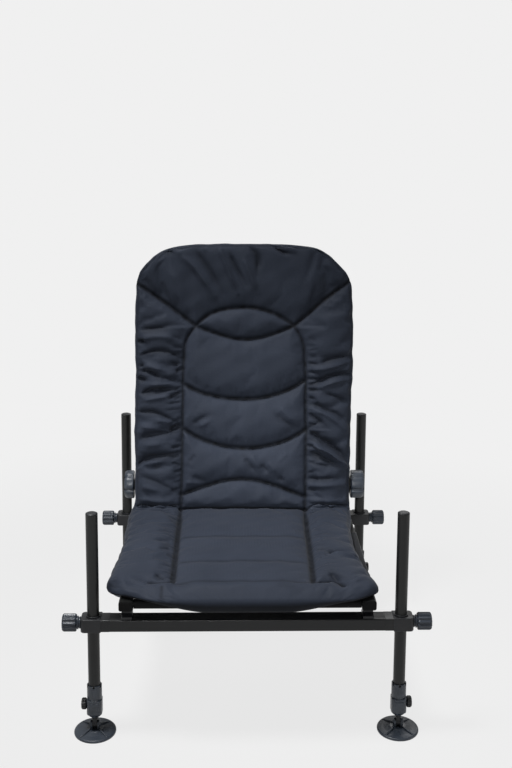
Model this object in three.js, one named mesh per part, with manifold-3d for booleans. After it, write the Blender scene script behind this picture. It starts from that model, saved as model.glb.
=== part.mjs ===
// Folding carp fishing chair: two grooved crossbars on four sliding legs, two seat rails, a
// laced sling, a quilted two-part mattress and a back frame that turns in two recliner hinges.
// The frame is drawn square, with X across, Y towards the back and Z along the legs from the
// top faces of the crossbars, and the whole frame then leans back by seatTiltShare of a turn.
import * as THREE from 'three';
import { mergeVertices } from 'three/addons/utils/BufferGeometryUtils.js';
import Module from 'manifold-3d';

const wasm = await Module();
wasm.setup();

// Shares and counts
const seatTiltShare = 4 / 360;
const reclineShare = 8 / 360;
const tubeSides = 16;
const smallSides = 12;
const tinySides = 8;
const discSides = 24;
const earSides = 12;
const noseSteps = 3;
const blockSteps = 2;
const backTubeSteps = 7;
const clampLobes = 8;
const reclinerLobes = 10;
const footKnobLobes = 8;
const knobSteps = 3;
const grooveCount = 5;
const footRibCount = 4;
const sleeveNotchCount = 6;
const eyeletCount = 5;
const cordSides = 6;
const cordBendSteps = 2;
const backBendSteps = 5;
const cordEarlyShare = 0.24;
const cordLateShare = 0.62;
const cordRiseShare = 0.14;
const seatBendShare = 60 / 360;
const flankShare = 0.4;
const lensShare = 0.66;
const lensTaperShare = 0.12;
const rimShares = [0.62, 0.3, 0.06];
const hookFadeShares = [1, 0.6, 0];
const diagonalFadeShares = [1, 1, 0.8];
const bellyOuterShare = 0.78;
const bellyInnerShare = 0.68;

// Clearances
const gap = 0.3;
const slideGap = 0.4;
const holeGap = 0.3;
const overrun = 2;

// Crossbars
const frontLegOffset = 70;
const rearLegOffset = 54;
const barSpacing = 616;
const barDepth = 39;
const barHeight = 26;
const barWall = 2.4;
const barCorner = 2.5;
const grooveWidth = 2;
const grooveDepth = 0.8;
const grooveBand = 24;
const barTopHeight = 235.5;

// Crossbar end caps
const capInner = 34;
const capOuter = 25;
const capDepth = 42;
const capHeight = 29;
const capEdge = 1.5;
const capBossRadius = 11;
const capBossLength = 3;
const spigotLength = 15;
const spigotWall = 3;
const screwRadius = 4;

// Clamp knobs
const clampKnobRadius = 18.5;
const clampLobeDepth = 1.4;
const clampKnobLength = 26;
const clampKnobEdge = 3;
const clampShoulderLength = 7;
const clampShoulderRadius = 9;
const clampNeckRadius = 6.5;
const clampNeckLength = 2.5;

// Legs
const legRadius = 12.5;
const legWall = 1.5;
const legLength = 483;
const legPlugRim = 3;
const legPlugDrop = 14;
const legPlugEdge = 1;

// Feet, heights measured up the leg from the floor
const footRadius = 44;
const footRimHeight = 5;
const footHubRadius = 17;
const footHubHeight = 9.5;
const footDish = 2;
const footLip = 4;
const footRibWidth = 3.4;
const footRibHeight = 12.5;
const footRibTail = 3;
const footEarWidth = 18;
const footEarThickness = 5;
const footPinHeight = 18;
const footPinRadius = 3;
const footPinHeadRadius = 4.6;
const footPinHead = 2;
const footEyeThickness = 9;
const footEyeWidth = 16;
const footStemRadius = 7;
const footStemBottom = 31;
const footStemTop = 72;
const footBlockBottom = 38;
const footBlockTop = 77;
const footBlockWidth = 32;
const footBlockCorner = 9;
const footBlockChamfer = 6;
const footWebTop = 76;
const footSleeveTop = 108;
const footSleeveRadius = 15.5;
const sleeveNotchDepth = 5;
const sleeveNotchWidth = 4;
const footKnobHeight = 64;
const footKnobRadius = 12;
const footKnobLobe = 1;
const footKnobLength = 11;
const footKnobEdge = 1.5;
const footScrewRadius = 3;

// Seat frame
const railOffset = 24;
const railWidth = 30;
const railHeight = 20;
const railWall = 1.8;
const railCorner = 4;
const railLift = 24;
const railFrontOverhang = 28;
const railRearOverhang = 18;
const seatTubeRadius = 10;
const seatTubeWall = 1.5;
const seatTubeSetback = 14;
const riserWidth = 22;
const riserDepth = 34;
const riserWaist = 14;
const riserFoot = 5;
const railBoltRadius = 3;
const boltHeadRadius = 7;
const boltHeadHeight = 3;
const nutRadius = 5.5;
const nutHeight = 5;

// Recliner hinges, measured from the pivot
const pivotInset = 118;
const pivotHeight = 118;
const bracketPlate = 6;
const bracketPlateOffset = 13.3;
const bracketRadius = 27;
const bracketFootFront = 42;
const bracketFootRear = 46;
const bracketFlange = 4;
const bracketBossRadius = 22;
const bracketBossLength = 17.4;
const stayWidth = 12;
const stayReach = 104;
const hingeBoltRadius = 4;
const hingeBoltHeadRadius = 8;
const hingeBoltHead = 3;
const discInset = 13;
const discRadius = 26;
const socketRadius = 14.2;
const socketFloor = 13;
const socketBase = 2.5;
const socketRise = 52;
const reclinerKnobRadius = 35;
const reclinerKnobLobe = 2.6;
const reclinerKnobLength = 26;
const reclinerKnobEdge = 4;
const reclinerKnobGroove = 2.2;
const reclinerKnobGrooveWidth = 3;
const reclinerHubRadius = 14;
const reclinerHubLength = 8;

// Back frame
const backTubeSpan = 452;
const backTubeRadius = 11;
const backTubeWall = 1.5;
const backTubeLength = 572;
const backBend = 92;
const backCrossHeight = 250;
const backCrossRadius = 8;

// Mattress
const seatPadNose = 14;
const seatBendInset = 58;
const seatBendRadius = 38;
const seatPadBottom = 46.5;
const seatPadTop = 73;
const seatPadOverhang = 31;
const backPadRear = 15;
const backPadFront = 41;
const backPadBottom = 32;
const backPadTop = 602;
const backPadOverhang = 46;
const padRim = 8;
const padShoulder = 27;
const quiltHalf = 150;
const lensHalf = 122;
const quiltDepth = 9;
const quiltFlank = 13;
const quiltCrown = 0.8;

// Sling
const flapThickness = 1.6;
const flapFront = 182;
const flapRear = 50;
const padBelly = 4.5;
const flapSlit = 61;
const flapHem = 3;
const slingDrop = 6.2;
const eyeletInset = 27;
const eyeletRadius = 6.5;
const eyeletHole = 3.2;
const eyeletRise = 0.9;
const eyeletMargin = 22;
const cordRadius = 1.3;
const cordBend = 1.8;
const cordTail = 34;
const cordTailDrop = 9;

// Materials
const barPaint = { color: 0x1d1f21, roughness: 0.42, metalness: 0.35 };
const framePaint = { color: 0x232628, roughness: 0.5, metalness: 0.3 };
const plastic = { color: 0x3a434e, roughness: 0.48, metalness: 0.0 };
const darkPlastic = { color: 0x24282c, roughness: 0.5, metalness: 0.0 };
const steel = { color: 0x8b8f92, roughness: 0.35, metalness: 0.9 };
const cushionCloth = { color: 0x2f363f, roughness: 0.85, metalness: 0.0 };
const slingCloth = { color: 0x1a1c1f, roughness: 0.9, metalness: 0.0 };
const elastic = { color: 0x15171a, roughness: 0.8, metalness: 0.0 };

// Axis names
const X = new THREE.Vector3(1, 0, 0);
const Y = new THREE.Vector3(0, 1, 0);
const Z = new THREE.Vector3(0, 0, 1);

// A closed three.js geometry as a solid that can be joined and cut
function solid(geometry) {
  const bare = geometry.clone();
  bare.deleteAttribute('normal');
  bare.deleteAttribute('uv');
  const merged = mergeVertices(bare);
  return new wasm.Manifold(new wasm.Mesh({
    numProp: 3,
    vertProperties: new Float32Array(merged.attributes.position.array),
    triVerts: new Uint32Array(merged.index.array),
  }));
}

function geometryOf(body) {
  const mesh = body.getMesh();
  const geometry = new THREE.BufferGeometry();
  geometry.setAttribute('position', new THREE.BufferAttribute(mesh.vertProperties, 3));
  geometry.setIndex(new THREE.BufferAttribute(mesh.triVerts, 1));
  geometry.computeVertexNormals();
  return geometry;
}

function joined(first, ...others) {
  return others.reduce((sum, other) => sum.add(other), first);
}

function cut(first, ...others) {
  return others.reduce((rest, other) => rest.subtract(other), first);
}

function moved(geometry, x, y, z) {
  geometry.translate(x, y, z);
  return geometry;
}

// A round bar along an axis between two places on it
function rod(axis, radius, from, to, sides = tubeSides) {
  const bar = new THREE.CylinderGeometry(radius, radius, to - from, sides);
  bar.translate(0, (from + to) / 2, 0);
  bar.applyQuaternion(new THREE.Quaternion().setFromUnitVectors(Y, axis));
  return bar;
}

// A round hole's cutter: the flats of its facets, not their corners, stand at its radius
function drill(axis, radius, from, to, sides = tubeSides) {
  return rod(axis, radius / Math.cos(Math.PI / sides), from, to, sides);
}

// A revolved body: points are [radius, place along the axis], with the outer wall going up
function turned(axis, points, sides = tubeSides) {
  const profile = points.map(([radius, place]) => new THREE.Vector2(radius, place));
  if (THREE.ShapeUtils.area(profile) < 0) {
    profile.reverse();
  }
  const body = new THREE.LatheGeometry(profile, sides);
  body.applyQuaternion(new THREE.Quaternion().setFromUnitVectors(Y, axis));
  return body;
}

function hollowTube(axis, radius, wall, from, to, sides = tubeSides) {
  return turned(axis, [
    [radius - wall, from],
    [radius, from],
    [radius, to],
    [radius - wall, to],
    [radius - wall, from],
  ], sides);
}

// A flat outline pushed up along Z between two heights, with 2 * steps chords to each arc
function slab(shape, from, to, edge = 0, steps = 1) {
  const block = new THREE.ExtrudeGeometry(shape, {
    depth: to - from - 2 * edge,
    bevelEnabled: edge > 0,
    bevelThickness: edge,
    bevelSize: edge,
    bevelOffset: -edge,
    bevelSegments: 1,
    curveSegments: steps,
  });
  block.translate(0, 0, from + edge);
  return block;
}

// The same, turned so that the outline's x and y lie along Y and Z and the push along X
function slabAlongX(shape, from, to, edge = 0, steps = 1) {
  const block = slab(shape, from, to, edge, steps);
  const basis = new THREE.Matrix4().makeBasis(Y, Z, X);
  block.applyMatrix4(basis);
  return block;
}

function roundedRect(width, height, corner) {
  const shape = new THREE.Shape();
  const x = width / 2;
  const y = height / 2;
  shape.moveTo(corner - x, -y);
  shape.lineTo(x - corner, -y);
  shape.absarc(x - corner, corner - y, corner, -Math.PI / 2, 0);
  shape.lineTo(x, y - corner);
  shape.absarc(x - corner, y - corner, corner, 0, Math.PI / 2);
  shape.lineTo(corner - x, y);
  shape.absarc(corner - x, y - corner, corner, Math.PI / 2, Math.PI);
  shape.lineTo(-x, corner - y);
  shape.absarc(corner - x, corner - y, corner, Math.PI, 3 * Math.PI / 2);
  return shape;
}

function circle(radius) {
  return new THREE.Shape().absarc(0, 0, radius, 0, 2 * Math.PI);
}

// A wavy circle for a knob that fingers grip
function lobed(radius, depth, lobes, pointsPerLobe = 5) {
  const points = [];
  const count = lobes * pointsPerLobe;
  for (let i = 0; i < count; i += 1) {
    const turn = 2 * Math.PI * i / count;
    const wave = Math.pow(Math.abs(Math.cos(turn * lobes / 2)), 3);
    const r = radius - depth * wave;
    points.push(new THREE.Vector2(r * Math.cos(turn), r * Math.sin(turn)));
  }
  return new THREE.Shape(points);
}

function box(x0, x1, y0, y1, z0, z1) {
  const block = new THREE.BoxGeometry(x1 - x0, y1 - y0, z1 - z0);
  return moved(block, (x0 + x1) / 2, (y0 + y1) / 2, (z0 + z1) / 2);
}

// Turns a right-hand piece into its left-hand mirror
function mirrored(geometry) {
  const other = geometry.clone();
  other.scale(-1, 1, 1);
  const index = other.index.array;
  for (let i = 0; i < index.length; i += 3) {
    const keep = index[i];
    index[i] = index[i + 1];
    index[i + 1] = keep;
  }
  other.computeVertexNormals();
  return other;
}

function sided(body, side) {
  const geometry = geometryOf(body);
  return side < 0 ? mirrored(geometry) : geometry;
}

function mesh(name, geometry, look, parent) {
  const item = new THREE.Mesh(geometry, new THREE.MeshStandardMaterial(look));
  item.name = name;
  parent.add(item);
  return item;
}

function groupAt(parent, x, y, z) {
  const holder = new THREE.Group();
  holder.position.set(x, y, z);
  parent.add(holder);
  return holder;
}

const chair = new THREE.Group();
const frame = groupAt(chair, 0, 0, barTopHeight);
const seatTilt = 2 * Math.PI * seatTiltShare;
frame.rotation.x = -seatTilt;

const barMiddle = -barHeight / 2;
const railTop = railLift + railHeight;
const railMiddle = railLift + railHeight / 2;
const tubeHalf = backTubeSpan / 2;
const railHalf = tubeHalf + railOffset;
const railFront = barSpacing / 2 + railFrontOverhang;
const railRear = barSpacing / 2 + railRearOverhang;
const pivotBack = barSpacing / 2 - pivotInset;
const bracketPlateStart = tubeHalf + bracketPlateOffset;
const bracketBossEnd = bracketPlateStart + bracketPlate + bracketBossLength;
const rows = [
  { name: 'front', way: -1, span: 2 * (railHalf + frontLegOffset) },
  { name: 'rear', way: 1, span: 2 * (railHalf + rearLegOffset) },
];
const sides = [
  { name: 'left', side: -1 },
  { name: 'right', side: 1 },
];

// Crossbar: a hollow extrusion with a band of fine grooves along its top and bottom
function barShape() {
  const shape = roundedRect(barDepth, barHeight, barCorner);
  const inner = roundedRect(barDepth - 2 * barWall, barHeight - 2 * barWall, barCorner / 2);
  shape.holes.push(inner);
  return shape;
}

function crossbar(row) {
  const half = row.span / 2 - capInner - gap;
  let bar = solid(moved(slabAlongX(barShape(), -half, half), 0, 0, barMiddle));
  const pitch = grooveBand / (grooveCount - 1);
  for (const face of [-barHeight, 0]) {
    for (let i = 0; i < grooveCount; i += 1) {
      const y = i * pitch - grooveBand / 2;
      bar = cut(bar, solid(box(
        -half - overrun, half + overrun,
        y - grooveWidth / 2, y + grooveWidth / 2,
        face - grooveDepth, face + grooveDepth,
      )));
    }
  }
  for (const { side } of sides) {
    const hole = drill(Z, railBoltRadius + holeGap, -barHeight - overrun, overrun, tinySides);
    bar = cut(bar, solid(moved(hole, side * railHalf, 0, 0)));
  }
  return geometryOf(bar);
}

// End cap: a moulded block with a round nose, the leg's bore and a spigot in the crossbar
function capShape() {
  const radius = capDepth / 2;
  const noseRight = capOuter - radius;
  const shape = new THREE.Shape();
  shape.moveTo(-capInner, -barDepth / 2);
  shape.lineTo(-capInner / 2 - legRadius / 2, -barDepth / 2);
  shape.lineTo(-legRadius, -radius);
  shape.lineTo(noseRight, -radius);
  shape.absarc(noseRight, 0, radius, -Math.PI / 2, Math.PI / 2);
  shape.lineTo(-legRadius, radius);
  shape.lineTo(-capInner / 2 - legRadius / 2, barDepth / 2);
  shape.lineTo(-capInner, barDepth / 2);
  return shape;
}

function endCap(side) {
  const lift = (capHeight - barHeight) / 2;
  const low = -barHeight - lift;
  const innerDepth = barDepth - 2 * barWall - 2 * gap;
  const innerHeight = barHeight - 2 * barWall - 2 * gap;
  const spigotShape = roundedRect(innerDepth, innerHeight, barCorner / 2);
  const pocketShape = roundedRect(
    innerDepth - 2 * spigotWall, innerHeight - 2 * spigotWall, barCorner / 2,
  );
  const spigot = moved(
    slabAlongX(spigotShape, -capInner - spigotLength, -capInner + overrun), 0, 0, barMiddle,
  );
  const pocket = moved(
    slabAlongX(pocketShape, -capInner - spigotLength - overrun, -capInner), 0, 0, barMiddle,
  );
  const boss = moved(
    rod(X, capBossRadius, capOuter - overrun, capOuter + capBossLength, smallSides),
    0, 0, barMiddle,
  );
  const body = joined(solid(slab(capShape(), low, lift, capEdge, noseSteps)), solid(boss), solid(spigot));
  const bore = drill(Z, legRadius + slideGap, low - overrun, lift + overrun);
  const screwHole = moved(
    drill(X, screwRadius + holeGap, 0, capOuter + capBossLength + overrun, tinySides),
    0, 0, barMiddle,
  );
  return sided(cut(body, solid(bore), solid(screwHole), solid(pocket)), side);
}

// Clamp knob: a fluted grip on a cone, with the screw that presses on the leg
function clampKnob(side) {
  const start = clampNeckLength + clampShoulderLength;
  const grip = slabAlongX(
    lobed(clampKnobRadius, clampLobeDepth, clampLobes, knobSteps),
    start, start + clampKnobLength, clampKnobEdge,
  );
  const tip = legRadius + gap - capOuter - capBossLength - gap;
  const stem = turned(X, [
    [0, tip],
    [screwRadius, tip],
    [screwRadius, 0],
    [clampNeckRadius, 0],
    [clampNeckRadius, clampNeckLength],
    [clampShoulderRadius, clampNeckLength],
    [clampKnobRadius - clampLobeDepth - clampKnobEdge, start],
    [clampKnobRadius - clampLobeDepth - clampKnobEdge, start + clampKnobEdge],
    [0, start + clampKnobEdge],
  ], smallSides);
  return sided(joined(solid(grip), solid(stem)), side);
}

// Leg plug: a rounded lid on the tube's end with a skirt inside it
function legPlug() {
  const inner = legRadius - legWall - gap;
  return turned(Z, [
    [0, legPlugRim],
    [legRadius - legPlugEdge, legPlugRim],
    [legRadius, legPlugRim - legPlugEdge],
    [legRadius, gap],
    [inner, gap],
    [inner, -legPlugDrop],
    [inner - legWall, -legPlugDrop],
    [inner - legWall, 0],
    [0, 0],
  ], smallSides);
}

// Foot block: the sleeve that takes the leg, over a block that takes the stem
function footBlock(side) {
  const shape = roundedRect(footBlockWidth, footBlockWidth, footBlockCorner);
  const body = solid(slab(
    shape, footBlockBottom + footBlockChamfer, footBlockTop, 0, blockSteps,
  ));
  const chin = solid(new THREE.CylinderGeometry(
    footBlockWidth / 2, footStemRadius + footBlockChamfer, footBlockChamfer, tubeSides,
  ).rotateX(Math.PI / 2).translate(0, 0, footBlockBottom + footBlockChamfer / 2));
  const sleeve = solid(rod(Z, footSleeveRadius, footBlockTop - overrun, footSleeveTop));
  let block = joined(body, chin, sleeve);
  block = cut(block, solid(drill(Z, legRadius + gap, footWebTop, footSleeveTop + overrun)));
  const stemTop = footStemTop + gap;
  block = cut(block, solid(drill(
    Z, footStemRadius + gap, footBlockBottom - overrun, stemTop, smallSides,
  )));
  block = cut(block, solid(moved(
    drill(X, footScrewRadius + holeGap, 0, footBlockWidth, tinySides), 0, 0, footKnobHeight,
  )));
  for (let i = 0; i < sleeveNotchCount; i += 1) {
    const notch = box(
      legRadius, footSleeveRadius + overrun,
      -sleeveNotchWidth / 2, sleeveNotchWidth / 2,
      footSleeveTop - sleeveNotchDepth, footSleeveTop + overrun,
    );
    notch.rotateZ(2 * Math.PI * (i + 0.5) / sleeveNotchCount);
    block = cut(block, solid(notch));
  }
  return sided(block, side);
}

function footKnob(side) {
  const start = footBlockWidth / 2 + gap;
  const grip = slabAlongX(
    lobed(footKnobRadius, footKnobLobe, footKnobLobes, knobSteps),
    start, start + footKnobLength, footKnobEdge,
  );
  const screw = rod(X, footScrewRadius, footStemRadius + gap, start + footKnobEdge, tinySides);
  return sided(joined(solid(grip), solid(screw)), side);
}

// Foot stem: a round post that turns in the block, flattened to an eye on the disc's pin
function footStem() {
  const post = solid(rod(
    Z, footStemRadius, footStemBottom - footPinHeight, footStemTop - footPinHeight, smallSides,
  ));
  const half = footEyeThickness / 2;
  const eye = solid(rod(X, footEyeWidth / 2, -half, half, smallSides));
  const neck = solid(box(
    -half, half, -footStemRadius, footStemRadius, 0, footStemBottom - footPinHeight + overrun,
  ));
  const hole = solid(drill(X, footPinRadius + gap, -footEyeWidth, footEyeWidth, tinySides));
  return geometryOf(cut(joined(post, eye, neck), hole));
}

// Foot disc: a dished plate with a hub, radial ribs, two ears and the pin that the ears hold
function footDisc() {
  const floor = -footPinHeight;
  const plate = solid(turned(Z, [
    [0, floor + footDish],
    [footRadius - footLip, floor + footDish],
    [footRadius - footLip, floor],
    [footRadius, floor],
    [footRadius, floor + footRimHeight - footDish],
    [footRadius - footDish, floor + footRimHeight],
    [footHubRadius, floor + footHubHeight],
    [0, floor + footHubHeight],
  ], discSides));
  const earStart = footEyeThickness / 2 + gap;
  let disc = plate;
  for (const side of [-1, 1]) {
    const inner = side * earStart;
    const outer = side * (earStart + footEarThickness);
    const low = Math.min(inner, outer);
    const high = Math.max(inner, outer);
    disc = joined(
      disc,
      solid(rod(X, footEarWidth / 2, low, high, earSides)),
      solid(box(
        low, high, -footEarWidth / 2, footEarWidth / 2, floor + footHubHeight - overrun, 0,
      )),
    );
  }
  const reach = footRadius - footRibTail;
  for (let i = 0; i < footRibCount; i += 1) {
    const rib = new THREE.Shape();
    const start = footHubRadius - footRibTail;
    rib.moveTo(start, floor + footRimHeight - footDish);
    rib.lineTo(reach, floor + footRimHeight - footDish);
    rib.lineTo(reach, floor + footRimHeight + footDish / 2);
    rib.lineTo(footHubRadius, floor + footRibHeight);
    rib.lineTo(start, floor + footRibHeight);
    const web = new THREE.ExtrudeGeometry(rib, { depth: footRibWidth, bevelEnabled: false });
    web.rotateX(Math.PI / 2);
    web.translate(0, footRibWidth / 2, 0);
    web.rotateZ(2 * Math.PI * (i + 0.5) / footRibCount);
    disc = joined(disc, solid(web));
  }
  const slotFloor = -footEyeWidth / 2 - gap;
  const slot = box(
    -earStart, earStart, -footEarWidth / 2 - overrun, footEarWidth / 2 + overrun, slotFloor, 0,
  );
  const end = earStart + footEarThickness;
  const pin = turned(X, [
    [0, -end - footPinHead],
    [footPinHeadRadius, -end - footPinHead],
    [footPinHeadRadius, -end],
    [footPinRadius, -end],
    [footPinRadius, end],
    [footPinHeadRadius, end],
    [footPinHeadRadius, end + footPinHead],
    [0, end + footPinHead],
  ], tinySides);
  return geometryOf(joined(cut(disc, solid(slot)), solid(pin)));
}

// The two crossbars with their caps, knobs, legs and feet
for (const row of rows) {
  const y = row.way * barSpacing / 2;
  const bar = groupAt(frame, 0, y, 0);
  mesh(`${row.name}_crossbar`, crossbar(row), barPaint, bar);
  const floorDrop = (barTopHeight - y * Math.sin(seatTilt)) / Math.cos(seatTilt);
  for (const { name, side } of sides) {
    const tag = `${row.name}_${name}`;
    const corner = groupAt(bar, side * row.span / 2, 0, 0);
    mesh(`crossbar_cap_${tag}`, endCap(side), darkPlastic, corner);
    const knobPlace = side * (capOuter + capBossLength + gap);
    const knob = groupAt(corner, knobPlace, 0, barMiddle);
    mesh(`clamp_knob_${tag}`, clampKnob(side), plastic, knob);
    const leg = groupAt(corner, 0, 0, -floorDrop);
    const tubeStart = footWebTop + gap;
    mesh(
      `leg_tube_${tag}`,
      hollowTube(Z, legRadius, legWall, tubeStart, legLength - legPlugRim),
      framePaint, leg,
    );
    const plug = groupAt(leg, 0, 0, legLength - legPlugRim);
    mesh(`leg_plug_${tag}`, legPlug(), darkPlastic, plug);
    mesh(`foot_block_${tag}`, footBlock(side), plastic, leg);
    const footKnobGroup = groupAt(leg, 0, 0, footKnobHeight);
    mesh(`foot_knob_${tag}`, footKnob(side), darkPlastic, footKnobGroup);
    const ankle = groupAt(leg, 0, 0, footPinHeight / Math.cos(seatTilt));
    mesh(`foot_stem_${tag}`, footStem(), darkPlastic, ankle);
    const foot = groupAt(ankle, 0, 0, 0);
    foot.rotation.x = seatTilt;
    mesh(`foot_disc_${tag}`, footDisc(), plastic, foot);
  }
}

// Seat rails: hollow box tubes that stand on risers over the crossbars
function rail() {
  const shape = roundedRect(railWidth, railHeight, railCorner);
  const hollow = roundedRect(
    railWidth - 2 * railWall, railHeight - 2 * railWall, railCorner - railWall,
  );
  shape.holes.push(hollow);
  const tube = slab(shape, -railRear, railFront);
  tube.rotateX(Math.PI / 2);
  let body = solid(tube);
  for (const row of rows) {
    const hole = drill(Z, railBoltRadius + holeGap, -railHeight, 0, tinySides);
    body = cut(body, solid(moved(hole, 0, row.way * barSpacing / 2, 0)));
  }
  return geometryOf(body);
}

for (const { name, side } of sides) {
  const holder = groupAt(frame, side * railHalf, 0, railMiddle);
  mesh(`seat_rail_${name}`, rail(), framePaint, holder);
}

const seatTubeHalf = railHalf - railWidth / 2 - gap;
const seatTube = groupAt(frame, 0, seatTubeSetback - railFront, railMiddle);
mesh(
  'front_seat_tube',
  hollowTube(X, seatTubeRadius, seatTubeWall, -seatTubeHalf, seatTubeHalf, smallSides),
  framePaint, seatTube,
);

// Riser: a waisted block between the crossbar and the rail, moulded round the bolt that goes
// through the crossbar below it and the rail's lower wall above it
function riser() {
  const shape = new THREE.Shape();
  const low = gap;
  const high = railLift - gap;
  const wide = riserDepth / 2;
  const narrow = riserWaist / 2;
  shape.moveTo(-wide, low);
  shape.lineTo(wide, low);
  shape.lineTo(wide, low + riserFoot);
  shape.lineTo(narrow, low + 2 * riserFoot);
  shape.lineTo(narrow, high - 2 * riserFoot);
  shape.lineTo(wide, high - riserFoot);
  shape.lineTo(wide, high);
  shape.lineTo(-wide, high);
  shape.lineTo(-wide, high - riserFoot);
  shape.lineTo(-narrow, high - 2 * riserFoot);
  shape.lineTo(-narrow, low + 2 * riserFoot);
  shape.lineTo(-wide, low + riserFoot);
  return solid(slabAlongX(shape, -riserWidth / 2, riserWidth / 2));
}

function boltedRiser() {
  const seat = -barHeight - gap;
  const nutSeat = railLift + railWall + gap;
  const shank = turned(Z, [
    [0, seat - boltHeadHeight],
    [boltHeadRadius / 2, seat - boltHeadHeight],
    [boltHeadRadius, seat - boltHeadHeight / 3],
    [boltHeadRadius, seat],
    [railBoltRadius, seat],
    [railBoltRadius, nutSeat + nutHeight + railWall],
    [0, nutSeat + nutHeight + railWall],
  ], tinySides);
  const nut = rod(Z, nutRadius, nutSeat, nutSeat + nutHeight, 6);
  return geometryOf(joined(riser(), solid(shank), solid(nut)));
}

for (const row of rows) {
  for (const { name, side } of sides) {
    const place = groupAt(frame, side * railHalf, row.way * barSpacing / 2, 0);
    mesh(`rail_riser_${row.name}_${name}`, boltedRiser(), darkPlastic, place);
  }
}

// Recliner bracket: an upright plate on the rail with a round head, a boss and a rear stay
function reclinerBracket(side) {
  const foot = railTop + gap - pivotHeight;
  const shape = new THREE.Shape();
  const startAngle = -Math.PI / 2 - Math.PI / 3;
  const endAngle = -Math.PI / 2 + Math.PI / 3;
  shape.moveTo(-bracketFootFront, foot);
  shape.lineTo(-bracketFootFront, foot + bracketFlange);
  shape.lineTo(
    bracketRadius * Math.cos(startAngle), bracketRadius * Math.sin(startAngle),
  );
  shape.absarc(0, 0, bracketRadius, startAngle, endAngle, true);
  shape.lineTo(bracketFootRear, foot + bracketFlange);
  shape.lineTo(bracketFootRear, foot);
  const from = bracketPlateStart;
  const to = bracketPlateStart + bracketPlate;
  const plate = solid(slabAlongX(shape, from, to, 0, noseSteps));
  const inner = railHalf - railWidth / 2 + gap;
  const outer = railHalf + railWidth / 2 - gap;
  const flange = solid(box(
    inner, outer, -bracketFootFront, bracketFootRear, foot, foot + bracketFlange,
  ));
  const boss = solid(rod(X, bracketBossRadius, to - overrun, bracketBossEnd));
  const fall = foot + bracketFlange;
  const run = Math.hypot(stayReach, fall);
  const stayShape = new THREE.Shape();
  const halfWidth = stayWidth / 2;
  stayShape.moveTo(0, -halfWidth);
  stayShape.lineTo(run, -halfWidth);
  stayShape.lineTo(run, halfWidth);
  stayShape.lineTo(0, halfWidth);
  const stay = slabAlongX(stayShape, from, to);
  stay.rotateX(Math.atan2(fall, stayReach));
  const stayFoot = solid(box(
    inner, outer, stayReach - stayWidth, stayReach + stayWidth, foot, foot + bracketFlange,
  ));
  const under = solid(box(
    0, bracketBossEnd + overrun, 0, stayReach * 2, foot - stayWidth * 2, foot,
  ));
  let body = joined(plate, flange, boss, solid(stay), stayFoot);
  body = cut(body, under);
  const hole = drill(X, hingeBoltRadius + gap, from - overrun, bracketBossEnd + overrun, smallSides);
  return sided(cut(body, solid(hole)), side);
}

// Hinge disc and socket: the casting on the end of the back frame's tube
const discInner = tubeHalf - discInset;
const discOuter = bracketPlateStart - gap;

function hingeSocket(side) {
  const disc = solid(rod(X, discRadius, discInner, discOuter));
  const barrel = solid(moved(
    rod(Z, socketRadius, socketFloor - socketBase, socketRise, tubeSides), tubeHalf, 0, 0,
  ));
  const trim = solid(box(
    discOuter, railHalf + railWidth, -discRadius * 2, discRadius * 2, -discRadius * 2, socketRise * 2,
  ));
  const bore = solid(moved(
    drill(Z, backTubeRadius + gap, socketFloor, socketRise + overrun), tubeHalf, 0, 0,
  ));
  const hole = solid(drill(X, hingeBoltRadius + gap, discInner - overrun, railHalf, smallSides));
  return sided(cut(joined(disc, barrel), trim, bore, hole), side);
}

function hingeBolt(side) {
  const start = discInner - gap;
  const end = bracketBossEnd + gap + reclinerHubLength;
  const bolt = turned(X, [
    [0, start - hingeBoltHead],
    [hingeBoltHeadRadius, start - hingeBoltHead],
    [hingeBoltHeadRadius, start],
    [hingeBoltRadius, start],
    [hingeBoltRadius, end],
    [0, end],
  ], smallSides);
  return sided(solid(bolt), side);
}

// Recliner knob: a big scalloped disc with a turned groove round its rim
function reclinerKnob(side) {
  const start = bracketBossEnd + gap;
  const end = start + reclinerHubLength + reclinerKnobLength;
  const rim = solid(slabAlongX(
    lobed(reclinerKnobRadius, reclinerKnobLobe, reclinerLobes, knobSteps),
    end - reclinerKnobLength, end, reclinerKnobEdge,
  ));
  const hub = solid(rod(X, reclinerHubRadius, start, end - reclinerKnobLength / 2));
  const middle = end - reclinerKnobLength / 2;
  const half = reclinerKnobGrooveWidth / 2;
  const floor = reclinerKnobRadius - reclinerKnobLobe - reclinerKnobGroove;
  const groove = solid(turned(X, [
    [floor, middle - half],
    [reclinerKnobRadius + overrun, middle - half],
    [reclinerKnobRadius + overrun, middle + half],
    [floor, middle + half],
    [floor, middle - half],
  ]));
  const bore = solid(drill(
    X, hingeBoltRadius + gap, start - overrun, start + reclinerHubLength + gap, smallSides,
  ));
  return sided(cut(joined(rim, hub), groove, bore), side);
}

const hinge = groupAt(frame, 0, pivotBack, pivotHeight);
const backrest = groupAt(hinge, 0, 0, 0);
backrest.rotation.x = -2 * Math.PI * reclineShare;
for (const { name, side } of sides) {
  mesh(`recliner_bracket_${name}`, reclinerBracket(side), framePaint, hinge);
  mesh(`recliner_knob_${name}`, reclinerKnob(side), plastic, hinge);
  mesh(`hinge_bolt_${name}`, hingeBolt(side), steel, hinge);
  mesh(`hinge_socket_${name}`, hingeSocket(side), darkPlastic, backrest);
}

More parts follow.
